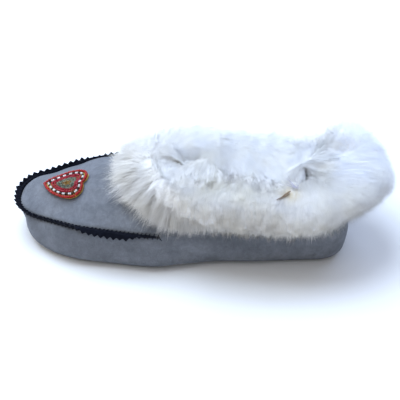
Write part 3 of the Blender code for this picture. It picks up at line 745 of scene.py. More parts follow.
def shell_piece(name, outer, inner, kept, finishes, node):
    """A closed shell from the kept cells of its outer and inner faces. The lining is the second finish."""
    rows, columns = outer.shape[:2]
    cells = grid_faces(rows, columns).reshape(rows - 1, columns, 4)
    apart = rows * columns
    outside, inside = cells[kept], (cells[kept] + apart)[:, ::-1]
    none = np.zeros((1, columns), bool)
    rim = []
    for corners, beside in (
        ((0, 1), np.vstack([none, kept[:-1]])),
        ((1, 2), np.roll(kept, -1, axis=1)),
        ((2, 3), np.vstack([kept[1:], none])),
        ((3, 0), np.roll(kept, 1, axis=1)),
    ):
        edge = cells[kept & ~beside][:, corners]
        rim.append(np.stack([edge[:, 1], edge[:, 0], edge[:, 0] + apart, edge[:, 1] + apart], axis=1))
    faces = np.concatenate([outside, inside, *rim])
    is_lining = np.zeros(len(faces))
    is_lining[len(outside):len(outside) + len(inside)] = 1
    used, faces = np.unique(faces, return_inverse=True)
    points = np.concatenate([outer.reshape(-1, 3), inner.reshape(-1, 3)])[used]
    new_piece(name, points, faces.reshape(-1, 4), finishes, "suede", (node,), 50, is_lining)


def make_upper(last, suede, fleece):
    """The side wall and the vamp. Gives the suede's outer face, which beads and hair are laid on."""
    wall = last.wall_loops()
    shares = np.concatenate([[0.012, 0.03], np.arange(1, TOP_ROWS + 1) / TOP_ROWS])
    plain = np.array(wall + [last.top_loop(share) for share in shares])
    grid = softened(plain, last)
    inner = plain - WALL * face_normals(plain)
    on_vamp = np.zeros((len(grid) - 1, grid.shape[1]), bool)
    on_vamp[len(wall) - 1:] = (last.s + np.roll(last.s, -1)) / 2 < SEAM_END
    shell_piece("suede_wall", grid, inner, ~on_vamp, (suede, fleece), "side_wall")
    shell_piece("suede_vamp", grid, inner, on_vamp, (suede, fleece), "vamp")
    return BVHTree.FromPolygons(grid.reshape(-1, 3).tolist(), grid_faces(*grid.shape[:2]).tolist())


def sole_loops(last, edge, levels):
    """Loops round a sole at (inset, height) levels, from its edge inside the widest loop."""
    plan_in = last.size["floor_in"] + edge
    return [raised(last.inset(plan_in + inset), spring(last.s) + z) for inset, z in levels]


def make_outsole(last, finish):
    levels = ((1.0, 0.0), (0.35, 0.12), (0.0, 0.5), (0.0, 1.0), (0.0, 1.5), (0.25, 1.85), (0.7, SOLE_THICK))
    loops = sole_loops(last, OUTSOLE_IN, levels)
    faces = closed_across(len(levels), len(last.s))
    new_piece("leather_outsole", loops, faces, (finish,), "sole_leather", ("outsole",), 35)


def make_insole(last, finish):
    """A fleece sock on the turned-in hem, trodden a little at the heel and the ball."""
    low = SOLE_THICK + GAP
    lip = low + WALL + GAP
    top = lip + INSOLE_THICK
    step = HEM_TURN - 0.4
    levels = ((step, low), (step, lip), (0.0, lip), (0.0, top - 1.4), (0.5, top - 0.5), (INSOLE_ROUND, top))
    loops = sole_loops(last, INSOLE_IN, levels)
    rim = last.inset(last.size["floor_in"] + INSOLE_IN + INSOLE_ROUND)
    for share in np.linspace(0.94, 0.03, 26):
        x, s = rim[:, 0] * share, blend(LENGTH / 2, rim[:, 1], 0.985 + 0.015 * share)
        lumps = sum(height * np.sin(x / a + s / b + phase) for a, b, phase, height in CURLS)
        tread = sum(
            depth * np.exp(-((x / wide) ** 2) - ((s - middle) / long) ** 2) for depth, wide, middle, long in TREADS
        )
        loops.append(raised(np.stack([x, s], axis=1), spring(s) + top + lumps - tread))
    faces = closed_across(len(loops), len(rim))
    made = new_piece("fleece_insole", loops, faces, (finish,), "fleece", ("insole",))


# ---- Seam strip and its stitches ----


class Seam:
    """Places along the toe seam, unrolled from heel to heel, with the directions that the strip is drawn in."""

    def __init__(self, last):
        half = len(last.s) // 2
        order = np.roll(np.arange(len(last.s)), -half)
        side_z = blend(last.size["widest_z"], last.size["shoulder_z"], 0.5)
        below = raised(last.inset(last.size["shoulder_in"] * 0.25), side_z)
        out = np.column_stack([last.out, np.zeros(len(last.out))])
        rows = (last.shoulder, unit(below - last.shoulder), unit(last.top_loop(0.2) - last.shoulder), out)
        self.rows = [row[order] for row in rows]
        self.signed_s = np.where(order >= half, -last.s[order], last.s[order])
        self.lengths = lengths_of(self.rows[0])
        self.ends = np.interp((-SEAM_END, SEAM_END), self.signed_s, self.lengths)

    def at(self, at):
        """Signed s, the seam, and the ways down, inward and outward, and out of the wall, the vamp and the ridge."""
        seam, down, inward, out = (at_lengths(row, self.lengths, at) for row in self.rows)
        down, inward, out = unit(down), unit(inward), unit(out)
        wall_out, vamp_out = square_to(out, down), square_to(UP, inward)
        s = np.interp(at, self.lengths, self.signed_s)
        return s, seam, down, inward, out, wall_out, vamp_out, unit(wall_out + vamp_out)


def pinking(at, start, rng):
    """The cut edge's height below the tooth tips, 0 at a tip and 1 in a notch, with rounded corners."""
    phase = (at - start) / TOOTH_PITCH
    tooth = np.abs((phase % 1) - 0.5) * 2
    uneven = rng.uniform(-0.10, 0.10, 200)[np.floor(phase).astype(int) % 200]
    return clamp(0.06 + 0.94 * tooth + uneven * (1 - tooth)) ** 0.9


def make_strip(seam_line, finish):
    rng = np.random.default_rng(11)
    start, end = seam_line.ends
    at = np.linspace(start, end, int((end - start) / TOOTH_PITCH * STEPS_A_TOOTH))
    s, seam, down, inward, out, wall_out, vamp_out, ridge = seam_line.at(at)
    wave = waves(at, STRIP_WAVES) * clamp((SEAM_END - np.abs(s)) / 25)
    lean = np.radians(smooth(s, STRIP["s"], STRIP["lean"]) + wave)[:, None]
    height = smooth(s, STRIP["s"], STRIP["height"]) - TOOTH_DEPTH * pinking(at, start, rng)
    tall = np.maximum(height, 0.4)[:, None]
    grip = np.minimum(1.0, 0.3 + np.minimum(at - start, end - at) / 30)[:, None]
    free = np.cos(lean) * out + np.sin(lean) * UP
    side = np.cos(lean) * UP - np.sin(lean) * out
    fat = (1 + waves(at, STRIP_BULGES))[:, None]
    half = STRIP_THICK / 2
    root = seam + (STRIP_GAP + STRIP_ROOT + half) * ridge
    profile = ((half * 1.1 * fat, 0.0), (half * fat, 0.5), (half * 0.85, 0.92), (half * 0.40, 1.0))
    corners = [
        seam + grip * 1.4 * down - wall_out,
        seam - 1.2 * ridge,
        seam + grip * 1.6 * inward - 1.2 * vamp_out,
        seam + grip * 1.3 * inward + (STRIP_GAP + 0.4) * vamp_out,
        *(root + across * side + up * tall * free for across, up in profile),
        *(root - across * side + up * tall * free for across, up in profile[::-1]),
        seam + grip * 1.2 * down + (STRIP_GAP + 0.4) * wall_out,
    ]
    points = np.stack(corners, axis=1)
    new_piece("pinked_strip", points, capped(*points.shape[:2]), (finish,), "felt", ("seam_strip",), 50)


def make_stitches(seam_line, finish):
    """Black whip stitches over the strip's root, and the thread's tail where the seam runs out."""
    rng = np.random.default_rng(5)
    start, end = seam_line.ends
    at = np.arange(start + 3, end - 1, STITCH_PITCH)
    at += rng.uniform(-0.35, 0.35, len(at))
    parts = []
    for _, seam, down, inward, _, wall_out, vamp_out, ridge in zip(*seam_line.at(at)):
        slant = np.cross(ridge, down) * rng.uniform(0.5, 1.1)
        path = seam + np.array(STITCH) @ np.array([down, inward, wall_out, ridge, vamp_out, slant])
        parts.append(tube(path, THREAD_RADIUS))
    _, seam, down, _, _, wall_out, _, _ = (row[0] for row in seam_line.at(np.array([end - 1.5])))
    t = np.linspace(0, 1, 9)[:, None]
    for turn, length in ((0.2, 1.0), (-0.5, 0.7)):
        path = seam + wall_out * (0.9 + 0.5 * np.sin(t * 2.4)) + down * (2.0 * t * t + turn * 2 * t)
        path[:, 1:2] += 3.0 * t * length
        parts.append(tube(path, TAIL_RADIUS, 6))
    new_piece("seam_stitches", *joined(parts), (finish,), "felt")


# ---- Beaded heart ----


def heart_outline(grow=0.0, count=60):
    """The heart's outline on flat cloth, as rows of across and along from the middle of its axis."""
    half = np.stack([HEART["half"], HEART["along"]], axis=1)
    steps = lengths_of(half)
    at = np.linspace(0, steps[-1], count + 1)
    side = np.stack([smooth(at, steps, half[:, 0]), smooth(at, steps, half[:, 1])], axis=1)
    loop = np.concatenate([side, side[-2:0:-1] * (-1, 1)])
    loop[:, 1] -= max(HEART["along"]) / 2
    return loop + grow * plan_normals(loop)


def bead_row(inset):
    """The heart's outline moved in by a row's distance. Its pointed tip moves in further than its lobes."""
    outline = heart_outline(0.0, 90)
    half, long = max(HEART["half"]), max(HEART["along"])
    along = (outline[:, 1] + long / 2) * (1 - 2.4 * inset / long) + 1.4 * inset - long / 2
    return closed(np.stack([outline[:, 0] * (1 - inset / half), along], axis=1))


def laid(surface, flat, lift):
    """Points of the heart's flat outline laid on the toe and lifted off it, and the toe's normals there."""
    turn_x = flat[:, 0] * math.cos(HEART_TURN) + flat[:, 1] * math.sin(HEART_TURN)
    turn_s = flat[:, 1] * math.cos(HEART_TURN) - flat[:, 0] * math.sin(HEART_TURN)
    placed = raised(np.stack([turn_x, turn_s], axis=1) + HEART_MIDDLE, 0.0)
    normals = np.zeros_like(placed)
    for k, (x, y, _) in enumerate(placed):
        hit, normal = surface.ray_cast(Vector((x, y, 100.0)), Vector((0, 0, -1)))[:2]
        normals[k] = normal if normal.z > 0 else -normal
        placed[k, 2] = hit.z + lift
    return placed, normals


def make_backing(surface, finish):
    low = GAP + BACKING_LIFT
    top = low + BACKING_THICK
    rim = heart_outline(-0.1) + (-0.1, 0.0)
    k = np.arange(len(rim))[:, None]
    rim = rim * (1 + 0.006 * np.sin(k * 0.9) + 0.005 * np.sin(k * 0.37 + 1))
    levels = ((0.05, low), (0.5, low), (0.975, low), (1.0, low + 0.3), (1.0, top - 0.3), (0.98, top))
    levels += ((0.85, top), (0.6, top), (0.3, top), (0.05, top))
    loops = [laid(surface, rim * share, lift)[0] for share, lift in levels]
    faces = capped(len(loops), len(rim))
    new_piece("leather_heart_backing", loops, faces, (finish,), "yellow_leather", ("heart_backing",), 50)


def bead(middle, axis, normal, diameter, length, sides=11, profile=6):
    """A rocaille: a short rounded glass tube whose hole runs along the row, as points and faces."""
    across = unit(np.cross(axis, normal))
    upward = np.cross(across, axis)
    outer, hole = diameter / 2, diameter * 0.19
    ring = np.arange(profile) / profile * 2 * math.pi + 0.5
    radius = (outer + hole) / 2 + (outer - hole) / 2 * np.cos(ring)
    along_axis = length / 2 * 0.96 * np.sin(ring)
    direction = spokes(sides, across, upward)[:, None]
    points = middle + radius[None, :, None] * direction + along_axis[None, :, None] * axis
    return points.reshape(-1, 3), grid_faces(sides, profile, True)


def make_beads(surface):
    rng = np.random.default_rng(3)
    groups = {name: [] for name in GLASS}
    base = GAP + BACKING_LIFT + BACKING_THICK + 0.15
    for inset, diameter, pitch, colours in BEAD_ROWS:
        outline = bead_row(inset)
        line = lengths_of(outline)
        count = max(3, int(round(line[-1] / pitch / len(colours))) * len(colours))
        at = (np.arange(count) + rng.uniform(-0.08, 0.08, count) + 0.3) / count * line[-1]
        placed, normals = laid(surface, at_lengths(outline, line, at), 0.0)
        ahead = laid(surface, at_lengths(outline, line, (at + 0.4) % line[-1]), 0.0)[0]
        for k, (place, normal) in enumerate(zip(placed, normals)):
            size = diameter * rng.uniform(0.94, 1.04)
            axis = square_to(unit(ahead[k] - place) + rng.uniform(-0.09, 0.09, 3), normal)
            middle = place + normal * (base + size / 2 + rng.uniform(-0.08, 0.10))
            fit = min(pitch, line[-1] / count) * 0.97
            groups[colours[k % len(colours)]].append(bead(middle, axis, normal, size, fit))
    for name, parts in groups.items():
        new_piece(name + "_beads", *joined(parts), (bead_finish(*GLASS[name]),), "beads", ("heart_beads",))


# ---- Fur ----


def heelward(lap):
    """How far from throat to heel a place round the collar lies, from 0 to 1. A lap starts at the throat."""
    return 1 - np.abs(1 - 2 * lap)


def centred(lap):
    """A lap, or a step between laps, brought to within half a lap of 0."""
    return (lap + 0.5) % 1 - 0.5


def side_of(lap):
    """1 on the lateral side and -1 on the medial side."""
    return np.where(lap < 0.5, 1.0, -1.0)


class Fur:
    """The oval section of the fur at each place round the collar edge, from the CAD."""

    def __init__(self, last):
        lap = np.arange(FUR_RING) / FUR_RING
        self.size = {name: smooth(heelward(lap), FUR["share"], values) for name, values in FUR.items()}
        place, spread, height = FUR_TUFT
        self.size["up"] += height * bell(lap - place, spread)
        lengths = lengths_of(closed(last.collar))
        down = smooth(heelward(lengths[:-1] / lengths[-1]), FUR["share"], FUR["down"])
        self.flap = np.clip(down * 0.82 / last.span, 0, 0.93)
        self.collar = evenly(last.collar, last.collar, FUR_RING)
        self.normal = unit(evenly(face_normals(self.flap_rows(last, 1))[-1], last.collar, FUR_RING))
        tangent = around(self.collar)
        self.edge = unit(np.cross(self.normal, tangent))
        self.level = unit(self.normal + self.size["rise"][:, None] * self.edge)
        self.outward = unit(np.cross(tangent, UP))
        self.outward *= np.sign(np.sum(self.outward * self.level))
        self.tilt = np.degrees(np.arctan2(self.level[:, 2], np.sum(self.level * self.outward, axis=1)))
        self.perimeter = lengths[-1]
        self.faces = None

    def flap_rows(self, last, share):
        """Loops of the suede under the fur, up to the collar edge."""
        return [last.top_loop(1 - self.flap * share * k) for k in (1, 0.66, 0.33, 0)]

    def mixed(self, rows, lap):
        at = (lap % 1) * FUR_RING
        low = at.astype(int) % FUR_RING
        part = at - np.floor(at)
        return blend(rows[low], rows[(low + 1) % FUR_RING], part[:, None] if rows.ndim > 1 else part)

    def heading(self, lap, turn):
        """A turn round the section as degrees from level and outward."""
        return np.degrees(turn) + self.mixed(self.tilt, lap)

    def radii(self, lap, turn):
        """The section's half width and half height there."""
        out, inner, up, down = (self.mixed(self.size[name], lap) for name in ("out", "inner", "up", "down"))
        outside = np.cos(turn) > 0
        low = np.where(outside, down, FUR_SLOT + 3)
        return np.where(outside, out, inner), np.where(np.sin(turn) > 0, up, low)

    def at(self, lap, turn, reach):
        wide, high = self.radii(lap, turn)
        x, y = wide * np.cos(turn) * reach, high * np.sin(turn) * reach
        level, edge = self.mixed(self.level, lap), self.mixed(self.edge, lap)
        return self.mixed(self.collar, lap) + x[:, None] * level + y[:, None] * edge

    def inner_reach(self, share, lateral, out, up):
        """How far the loose hair over the foot opening reaches in a direction that leans inward."""
        across = blend(*(smooth(share, CLOSING["share"], CLOSING[side]) for side in ("medial", "lateral")), lateral)
        across = across * (1 - sum(depth * bell(share - place, long) for place, long, depth in DIPS))
        high = np.where(up > 0, 1.1 * np.interp(share, *ARCH_HEIGHT), UNDER_ARCH)
        power = np.interp(share, *ROUNDNESS)
        return (np.abs(out / across) ** power + np.abs(up / high) ** power) ** (-1 / power)

    def fullness(self, lap, turn):
        """How far the fur reaches as a share of the CAD's section, with the loose hair over the foot opening."""
        lap = lap % 1
        share = heelward(lap)
        lateral = clamp(0.5 + side_of(lap) * 4 * np.minimum(share, 1 - share))
        fringe = clamp((np.radians(-12) - turn) / np.radians(34))
        reach = LOOSE + LOOSE_HEEL * np.interp(share, (0.7, 0.9), (0.0, 1.0))
        reach = reach - fringe * smooth(share, *FRINGE_IN) * (0.5 + 0.5 * lateral)
        away = self.at(lap, turn, 1.0) - self.mixed(self.collar, lap)
        size = np.linalg.norm(away, axis=1)
        out = np.sum(away * self.mixed(self.outward, lap), axis=1) / size
        angle = np.degrees(np.arctan2(away[:, 2], out * size))
        angle = np.where(angle < -110, angle + 360, angle)
        inner = np.interp(angle, *OVER_OPENING)
        over = self.inner_reach(share, lateral, out, away[:, 2] / size) / size
        reach = blend(reach, np.maximum(over, 0.95), inner)
        reach *= 1 + np.interp(lap, *LOFT) * np.interp(angle, *LOFTED)
        ring = lap * 2 * math.pi
        swell = sum(height * np.sin(laps * ring + turns * turn + phase) for laps, turns, phase, height in LUMPS)
        return reach * (1 + swell)

    def facing(self, lap, turn):
        """Which way the outside of the fur faces there."""
        rows, columns, lowest, highest = FACE_GRID
        if self.faces is None:
            ring, turns = np.arange(rows) / rows, np.radians(np.linspace(lowest, highest, columns))
            laps, turns = (grid.ravel() for grid in np.meshgrid(ring, turns, indexing="ij"))
            points = self.at(laps, turns, self.fullness(laps, turns)).reshape(rows, columns, 3)
            along = unit(np.roll(points, -2, axis=0) - np.roll(points, 2, axis=0))
            edge = unit(around(self.mixed(self.collar, ring)))[:, None]
            along = np.where(np.sum(along * edge, axis=2, keepdims=True) > 0.3, along, edge)
            self.faces = unit(np.cross(along, np.gradient(points, axis=1)))
            for _ in range(3):
                self.faces = unit(self.faces + np.roll(self.faces, 1, axis=0) + np.roll(self.faces, -1, axis=0))
            self.faces *= np.sign(np.mean(self.faces[:, columns // 2] @ UP))
        row = np.round(lap * rows).astype(int) % rows
        step = (highest - lowest) / (columns - 1)
        return self.faces[row, np.clip(np.round((np.degrees(turn) - lowest) / step), 0, columns - 1).astype(int)]


def make_pelt(last, fur, finish):
    """The dense underfur, a ring saddled on the collar edge inside the loose hair."""
    count = PELT_RING
    lap = np.arange(count) / count
    rows = fur.flap_rows(last, 0.55)
    normals = [unit(evenly(n, last.collar, count)) for n in face_normals(rows)]
    rows = [evenly(row, last.collar, count) for row in rows]
    slot = evenly(last.top_loop(1 - FUR_SLOT / last.span), last.collar, count)
    rim = rows[-1] + FUR_GAP * fur.mixed(fur.edge, lap)
    loops = [row + FUR_GAP * 0.6 * n for row, n in zip(rows, normals)]
    through = (WALL + FUR_GAP) * normals[-1]
    loops += [rim + FUR_GAP * normals[-1], rim - through, slot - through]
    for turn in np.radians(np.linspace(*PELT_TURNS)):
        turns = np.full(count, turn)
        rough = sum(0.02 * np.sin(lap * 2 * math.pi * laps + k * turn) for laps, k in ((47, 5), (31, -7)))
        core = 0.87 - 0.23 * clamp(-np.degrees(turn) / 50)
        loops.append(fur.at(lap, turns, core * fur.fullness(lap, turns) + rough))
    new_piece("fur_pelt", loops, grid_faces(len(loops), count, True), (finish,), "fur", ("fur_collar",))


def scattered(fur, count, rng):
    """Places over the fur's section, as many to each square millimetre everywhere."""
    lap, turn = rng.random(count * 3), np.radians(rng.uniform(*HAIR_TURNS, count * 3))
    wide, high = fur.radii(lap, turn)
    area = np.hypot(wide * np.sin(turn), high * np.cos(turn)) * fur.fullness(lap, turn)
    area *= np.interp(fur.heading(lap, turn), *DENSITY)
    kept = rng.random(len(area)) * area.max() * 1.02 < area
    lap, turn = lap[kept], turn[kept]
    while len(lap) < count:
        lap, turn = np.tile(lap, 2), np.tile(turn, 2)
    return lap[:count], turn[:count]


class Locks:
    """Where hair starts and where it ends, for hairs or for the middles of strands and locks.

    Hair parts along a crest. It is inside the top of the roll on the lateral side, whose hair falls outward, and
    outside it on the medial side, whose hair falls in over the opening.
    """

    def __init__(self, fur, count, rng, loose):
        self.lap, self.turn = lap, turn = scattered(fur, count, rng)
        tilt, ring = fur.mixed(fur.tilt, lap), lap * 2 * math.pi
        side, share = side_of(lap), heelward(lap)
        flank = side * clamp(5 * np.minimum(share, 1 - share))
        crest = 90 + CREST_SIDE * flank + CREST_HEEL * np.interp(share, (0.8, 0.97), (0, 1))
        crest = crest + 7 * np.sin(ring * 5 + 1) + 5 * np.sin(ring * 11) - tilt
        crest = np.radians(crest + rng.normal(0, CREST_STRAY * loose, count))
        away = np.tanh((turn - crest) / np.radians(CREST_WIDTH))
        sweep = np.radians(np.where(away < 0, SWEEP_OUT, SWEEP_IN + 6 * flank)) * away
        sweep = sweep * rng.uniform(1 - 0.4 * loose, 1 + 0.4 * loose, count)
        toward_toe = -side * np.interp(share, *LEAN_TO_TOE)
        lean = toward_toe * np.clip(0.4 + np.cos(turn), 0, 1.2) + rng.normal(0, LEAN_STRAY * loose, count)
        swept_back = SWEPT_BACK * clamp(-flank) * clamp(away) * clamp(6 * (0.76 - share))
        lean -= swept_back + 4 * clamp(flank) * clamp(away + 1)
        hang = np.interp(tilt, (25, 60), (1.0, 0.0))
        lowest = LOWEST_TURN + 8 * hang + (24 + 18 * hang) * rng.random(count) ** 1.5
        tip_turn = np.maximum(turn + sweep, np.radians(lowest))
        tip_lap = lap + lean / fur.perimeter
        fringe = clamp((-np.degrees(tip_turn) - 15) / 40)
        uneven = 1 + (rng.normal(0, 0.05, count) - fringe * 0.18 * rng.random(count)) * loose
        self.tip = [tip_lap, tip_turn, fur.fullness(tip_lap, tip_turn) * uneven]
        self.share = heelward(lap % 1)

    def spots(self, fur):
        """Places by which hairs near to each other are found."""
        ring, radius = self.lap * 2 * math.pi, fur.perimeter / (2 * math.pi)
        return np.stack([np.cos(ring) * radius, np.sin(ring) * radius, self.turn * 18], axis=1)

    def at_fringe(self):
        """1 where hair ends over the suede at the fur's lower edge, 0 above."""
        return clamp((-np.degrees(self.tip[1]) - 15) / 25)

    def near_side(self, fur):
        """1 on the lateral side's outer face, down to 0 on the medial side, and the heading of each tip."""
        lap = centred(self.lap)
        near = clamp(0.5 + 4 * lap) * clamp(5 * (0.5 - lap))
        heading = fur.heading(self.lap, self.tip[1])
        return near * (0.45 + 0.55 * clamp((105 - heading) / 60)), heading

    def past_throat(self):
        """1 along the sides and heel, less at the throat, whose long hair would make locks that are too wide."""
        return np.interp(self.share, (0, 0.12, 0.28), (0.35, 0.45, 1.0))


def gathered(fur, own, middles, pull):
    """Moves each tip towards the tip of the strand or lock that it belongs to, and gives which one that is."""
    tree = KDTree(len(middles.lap))
    for k, place in enumerate(middles.spots(fur)):
        tree.insert(place, k)
    tree.balance()
    nearest = np.array([tree.find(place)[1] for place in own.spots(fur)])
    for k, share in enumerate((1.0, 1.0, 0.45)):
        move = middles.tip[k][nearest] - own.tip[k]
        own.tip[k] = own.tip[k] + (move if k else centred(move)) * pull * share
    return nearest


def hair_points(fur, hairs, rng):
    """The hairs' middle lines, as hairs by steps by 3, and the way the fur faces along them."""
    tip_lap, tip_turn, tip_reach = hairs.tip
    bend = rng.normal(0, 1.0, (2, len(tip_lap)))
    root = np.interp(fur.heading(hairs.lap, hairs.turn), (20, 100), (OUTER_ROOT, INNER_ROOT))
    root = root * np.maximum(1, fur.fullness(hairs.lap, hairs.turn))
    lines, facing = [], []
    for t in ALONG_HAIR:
        arch = math.sin(math.pi * t)
        turn = hairs.turn + (tip_turn - hairs.turn) * t**1.2 + np.radians(2.0) * arch * bend[0]
        lap = blend(hairs.lap, tip_lap, t) + arch * bend[1] * 0.8 / fur.perimeter
        lines.append(fur.at(lap, turn, blend(root, tip_reach, 1 - (1 - t) ** 1.3)))
        facing.append(fur.facing(lap, turn))
    lines = np.stack(lines, axis=1)
    droop = THROAT_DROOP * hairs.at_fringe() * np.interp(hairs.share, *DROOP_SHARE)
    lines[:, :, 2] -= droop[:, None] * ALONG_HAIR**1.6
    return lines, np.stack(facing, axis=1)


def kept_off(points, surface, clearance):
    """Hair that would pass through the suede is laid on top of it."""
    flat = points.reshape(-1, 3)
    room = np.repeat(clearance, points.shape[1])
    for k in np.flatnonzero(flat[:, 2] < CLEAR_OF_SUEDE):
        where, normal, _, distance = surface.find_nearest(Vector(flat[k]), SEARCH)
        if where is not None and distance < INSIDE and np.dot(flat[k] - where, np.array(normal)) < room[k]:
            flat[k] = np.array(where) + np.array(normal) * room[k]
    return flat.reshape(points.shape)


def ribbons(lines, facing, width, twist):
    """Flat tapering ribbons along the lines: two edges, and one point at the tip. Gives points and normals."""
    direction = unit(np.gradient(lines, axis=1))
    side = unit(np.cross(direction, facing))
    other = np.cross(direction, side)
    side = side * np.cos(twist)[:, None, None] + other * np.sin(twist)[:, None, None]
    half = (width[:, None] / 2 * (1 - HAIR_TAPER * ALONG_HAIR[:-1] ** 1.5)[None])[:, :, None]
    edges = [lines[:, :-1] + sign * side[:, :-1] * half for sign in (-1, 1)]
    points = np.concatenate([np.stack(edges, axis=2).reshape(len(lines), -1, 3), lines[:, -1:]], axis=1)
    normals = unit(facing + 0.6 * np.cross(side, direction))
    return points, np.concatenate([np.repeat(normals[:, :-1], 2, axis=1), normals[:, -1:]], axis=1)


def hair_piece(name, points, normals, colours, finish):
    """A mesh of many ribbons, made straight from arrays."""
    each = points.shape[1]
    own = np.arange(len(points))[:, None] * each
    quads = np.concatenate([own + [k, k + 1, k + 3, k + 2] for k in range(0, each - 3, 2)])
    corners = np.concatenate([quads.ravel(), (own + [each - 3, each - 2, each - 1]).ravel()])
    starts = np.concatenate([np.arange(len(quads)) * 4, len(quads) * 4 + np.arange(len(points)) * 3])
    mesh = bpy.data.meshes.new(name)
    mesh.vertices.add(len(points) * each)
    mesh.vertices.foreach_set("co", (points * MM).astype(np.float32).ravel())
    mesh.loops.add(len(corners))
    mesh.loops.foreach_set("vertex_index", corners.astype(np.int32))
    mesh.polygons.add(len(starts))
    mesh.polygons.foreach_set("loop_start", starts.astype(np.int32))
    mesh.update(calc_edges=True)
    mesh.validate()
    mesh.shade_smooth()
    mesh.materials.append(finish)
    layer = mesh.color_attributes.new("hair_colour", "FLOAT_COLOR", "POINT")
    layer.data.foreach_set("color", colours.reshape(-1).astype(np.float32))
    mesh.normals_split_custom_set_from_vertices(normals.reshape(-1, 3).tolist())
    hang(name, mesh, "fur", ("fur_collar",))


def make_hair(fur, surface, finish):
    rng = np.random.default_rng(21)
    big, small, strand = (Locks(fur, count, rng, 1.0) for count in (BIG_LOCKS, SMALL_LOCKS, STRANDS))
    small_in_big = gathered(fur, small, big, SMALL_PULL * small.past_throat())
    pull = (rng.uniform(*STRAND_PULL, STRANDS) + 0.2 * strand.at_fringe()) * strand.past_throat()
    strand_in_small = gathered(fur, strand, small, pull * (0.4 + 0.6 * strand.near_side(fur)[0]))
    hairs = Locks(fur, HAIRS, rng, 0.8)
    guard = rng.random(HAIRS) < GUARD_SHARE
    hairs.tip[2] += np.where(guard, rng.uniform(*GUARD_EXTRA, HAIRS), 0)
    pull = np.where(guard, GUARD_PULL, rng.uniform(*HAIR_PULL, HAIRS)) + 0.12 * hairs.at_fringe()
    pull *= np.where(guard, 1.0, 0.5 + 0.5 * hairs.near_side(fur)[0])
    in_strand = gathered(fur, hairs, strand, pull)
    overshoot = np.where(strand.lap < 0.5, *OVERSHOOT) * rng.random(STRANDS) ** 6
    hairs.tip[2] *= 1 + hairs.at_fringe() * overshoot[in_strand] * rng.random(HAIRS) ** 0.5
    lines, facing = hair_points(fur, hairs, rng)
    lines = kept_off(lines, surface, rng.uniform(*CLEARANCE, HAIRS))
    wisps_and_shadow_hairs = wisp_and_shadow_lines(fur, rng)
    for k, (lap, own_lines, own_facing, _) in enumerate(wisps_and_shadow_hairs):
        own = slice(k * WISP_PLACES, k * WISP_PLACES + len(own_lines))
        hairs.lap[own], lines[own], facing[own] = lap, own_lines, own_facing
    width = HAIR_WIDTH * rng.uniform(0.7, 1.25, HAIRS) * np.where(guard, 0.5, 1.0)
    inner = np.interp(fur.heading(hairs.lap, hairs.turn), (50, 100), (1.0, 0.35))
    points, normals = ribbons(lines, facing, width, rng.uniform(-0.9, 0.9, HAIRS) * inner)
    colours = hair_colours(fur, hairs, in_strand, strand_in_small, small_in_big, rng)
    tint_stains_and_shade(fur, colours, lines[:, -1])
    # The dark hairs' colours: a brown wisp, and grey hairs as painted shadow.
    for k, (_, own_lines, _, colour) in enumerate(wisps_and_shadow_hairs):
        colours[k * WISP_PLACES:k * WISP_PLACES + len(own_lines), :, :3] = colour
    order = np.argsort((hairs.lap + 0.125) % 1, kind="stable")
    for name, share in zip(("front", "lateral", "heel", "medial"), np.array_split(order, 4)):
        hair_piece("fur_" + name, points[share], normals[share], colours[share], finish)


def hair_colours(fur, hairs, in_strand, strand_in_small, small_in_big, rng):
    """White hair, creamier at the root and in some locks, with painted light and shade: darker and warmer on the near
    side, lighter and bluer on the far side, and darker at the lower fringe, over the opening and at places round the
    collar. As hairs by points by 4.
    """
    in_small = strand_in_small[in_strand]
    cream_lock = rng.random(BIG_LOCKS)[small_in_big][in_small] ** 2 * 0.5
    cream_lock = cream_lock + rng.random(SMALL_LOCKS)[in_small] ** 3 * 0.5
    near, heading = hairs.near_side(fur)
    varied = 0.25 + 0.75 * near
    value = BRIGHTNESS + rng.uniform(*HAIR_VARIES, HAIRS) + rng.uniform(*STRAND_VARIES, STRANDS)[in_strand] * varied
    # Painted light and shade: a little lighter away from the near side, darker at the lower fringe.
    value += rng.uniform(*LOCK_VARIES, SMALL_LOCKS)[in_small] * varied + 0.03 * (1 - near) - 0.06 * hairs.at_fringe()
    # Painted shade: hair lying in over the opening is darker.
    value -= 0.03 * clamp((heading - 100) / 50)
    # Painted shade and light at places round the collar: darker at the throat, along the lateral side and at the
    # heel, lighter on the medial side.
    for place, spread, change in PAINTED_SHADE_AND_LIGHT:
        value += change * bell(centred(centred(hairs.lap) - place), spread)
    # Painted light and shade: the far side's white is lighter and bluer, the near side's darker and warmer.
    white = blend(FAR_SKYLIT_WHITE, NEAR_SHADED_WHITE, near[:, None])
    tip = blend(white, CREAM, clamp(cream_lock * varied)[:, None])
    t = np.append(np.repeat(ALONG_HAIR[:-1], 2), 1.0)[None, :, None]
    mixed = clamp(blend(HAIR_ROOT, tip[:, None], t) * value[:, None, None])
    return np.concatenate([mixed, np.ones((*mixed.shape[:2], 1))], axis=2)


def tint_stains_and_shade(fur, colours, tips):
    """Tints the hair round each stained place, and paints the cool shade on the heel."""
    for lap, turn, radius, strength, colour in STAINS_AND_HEEL_SHADE:
        lap, turn = np.array([lap]), np.radians([turn])
        middle = fur.at(lap, turn, fur.fullness(lap, turn))
        weight = strength * bell(np.linalg.norm(tips - middle, axis=1), radius)
        colours[:, :, :3] += (np.array(colour) * 0.93 - colours[:, :, :3]) * weight[:, None, None]


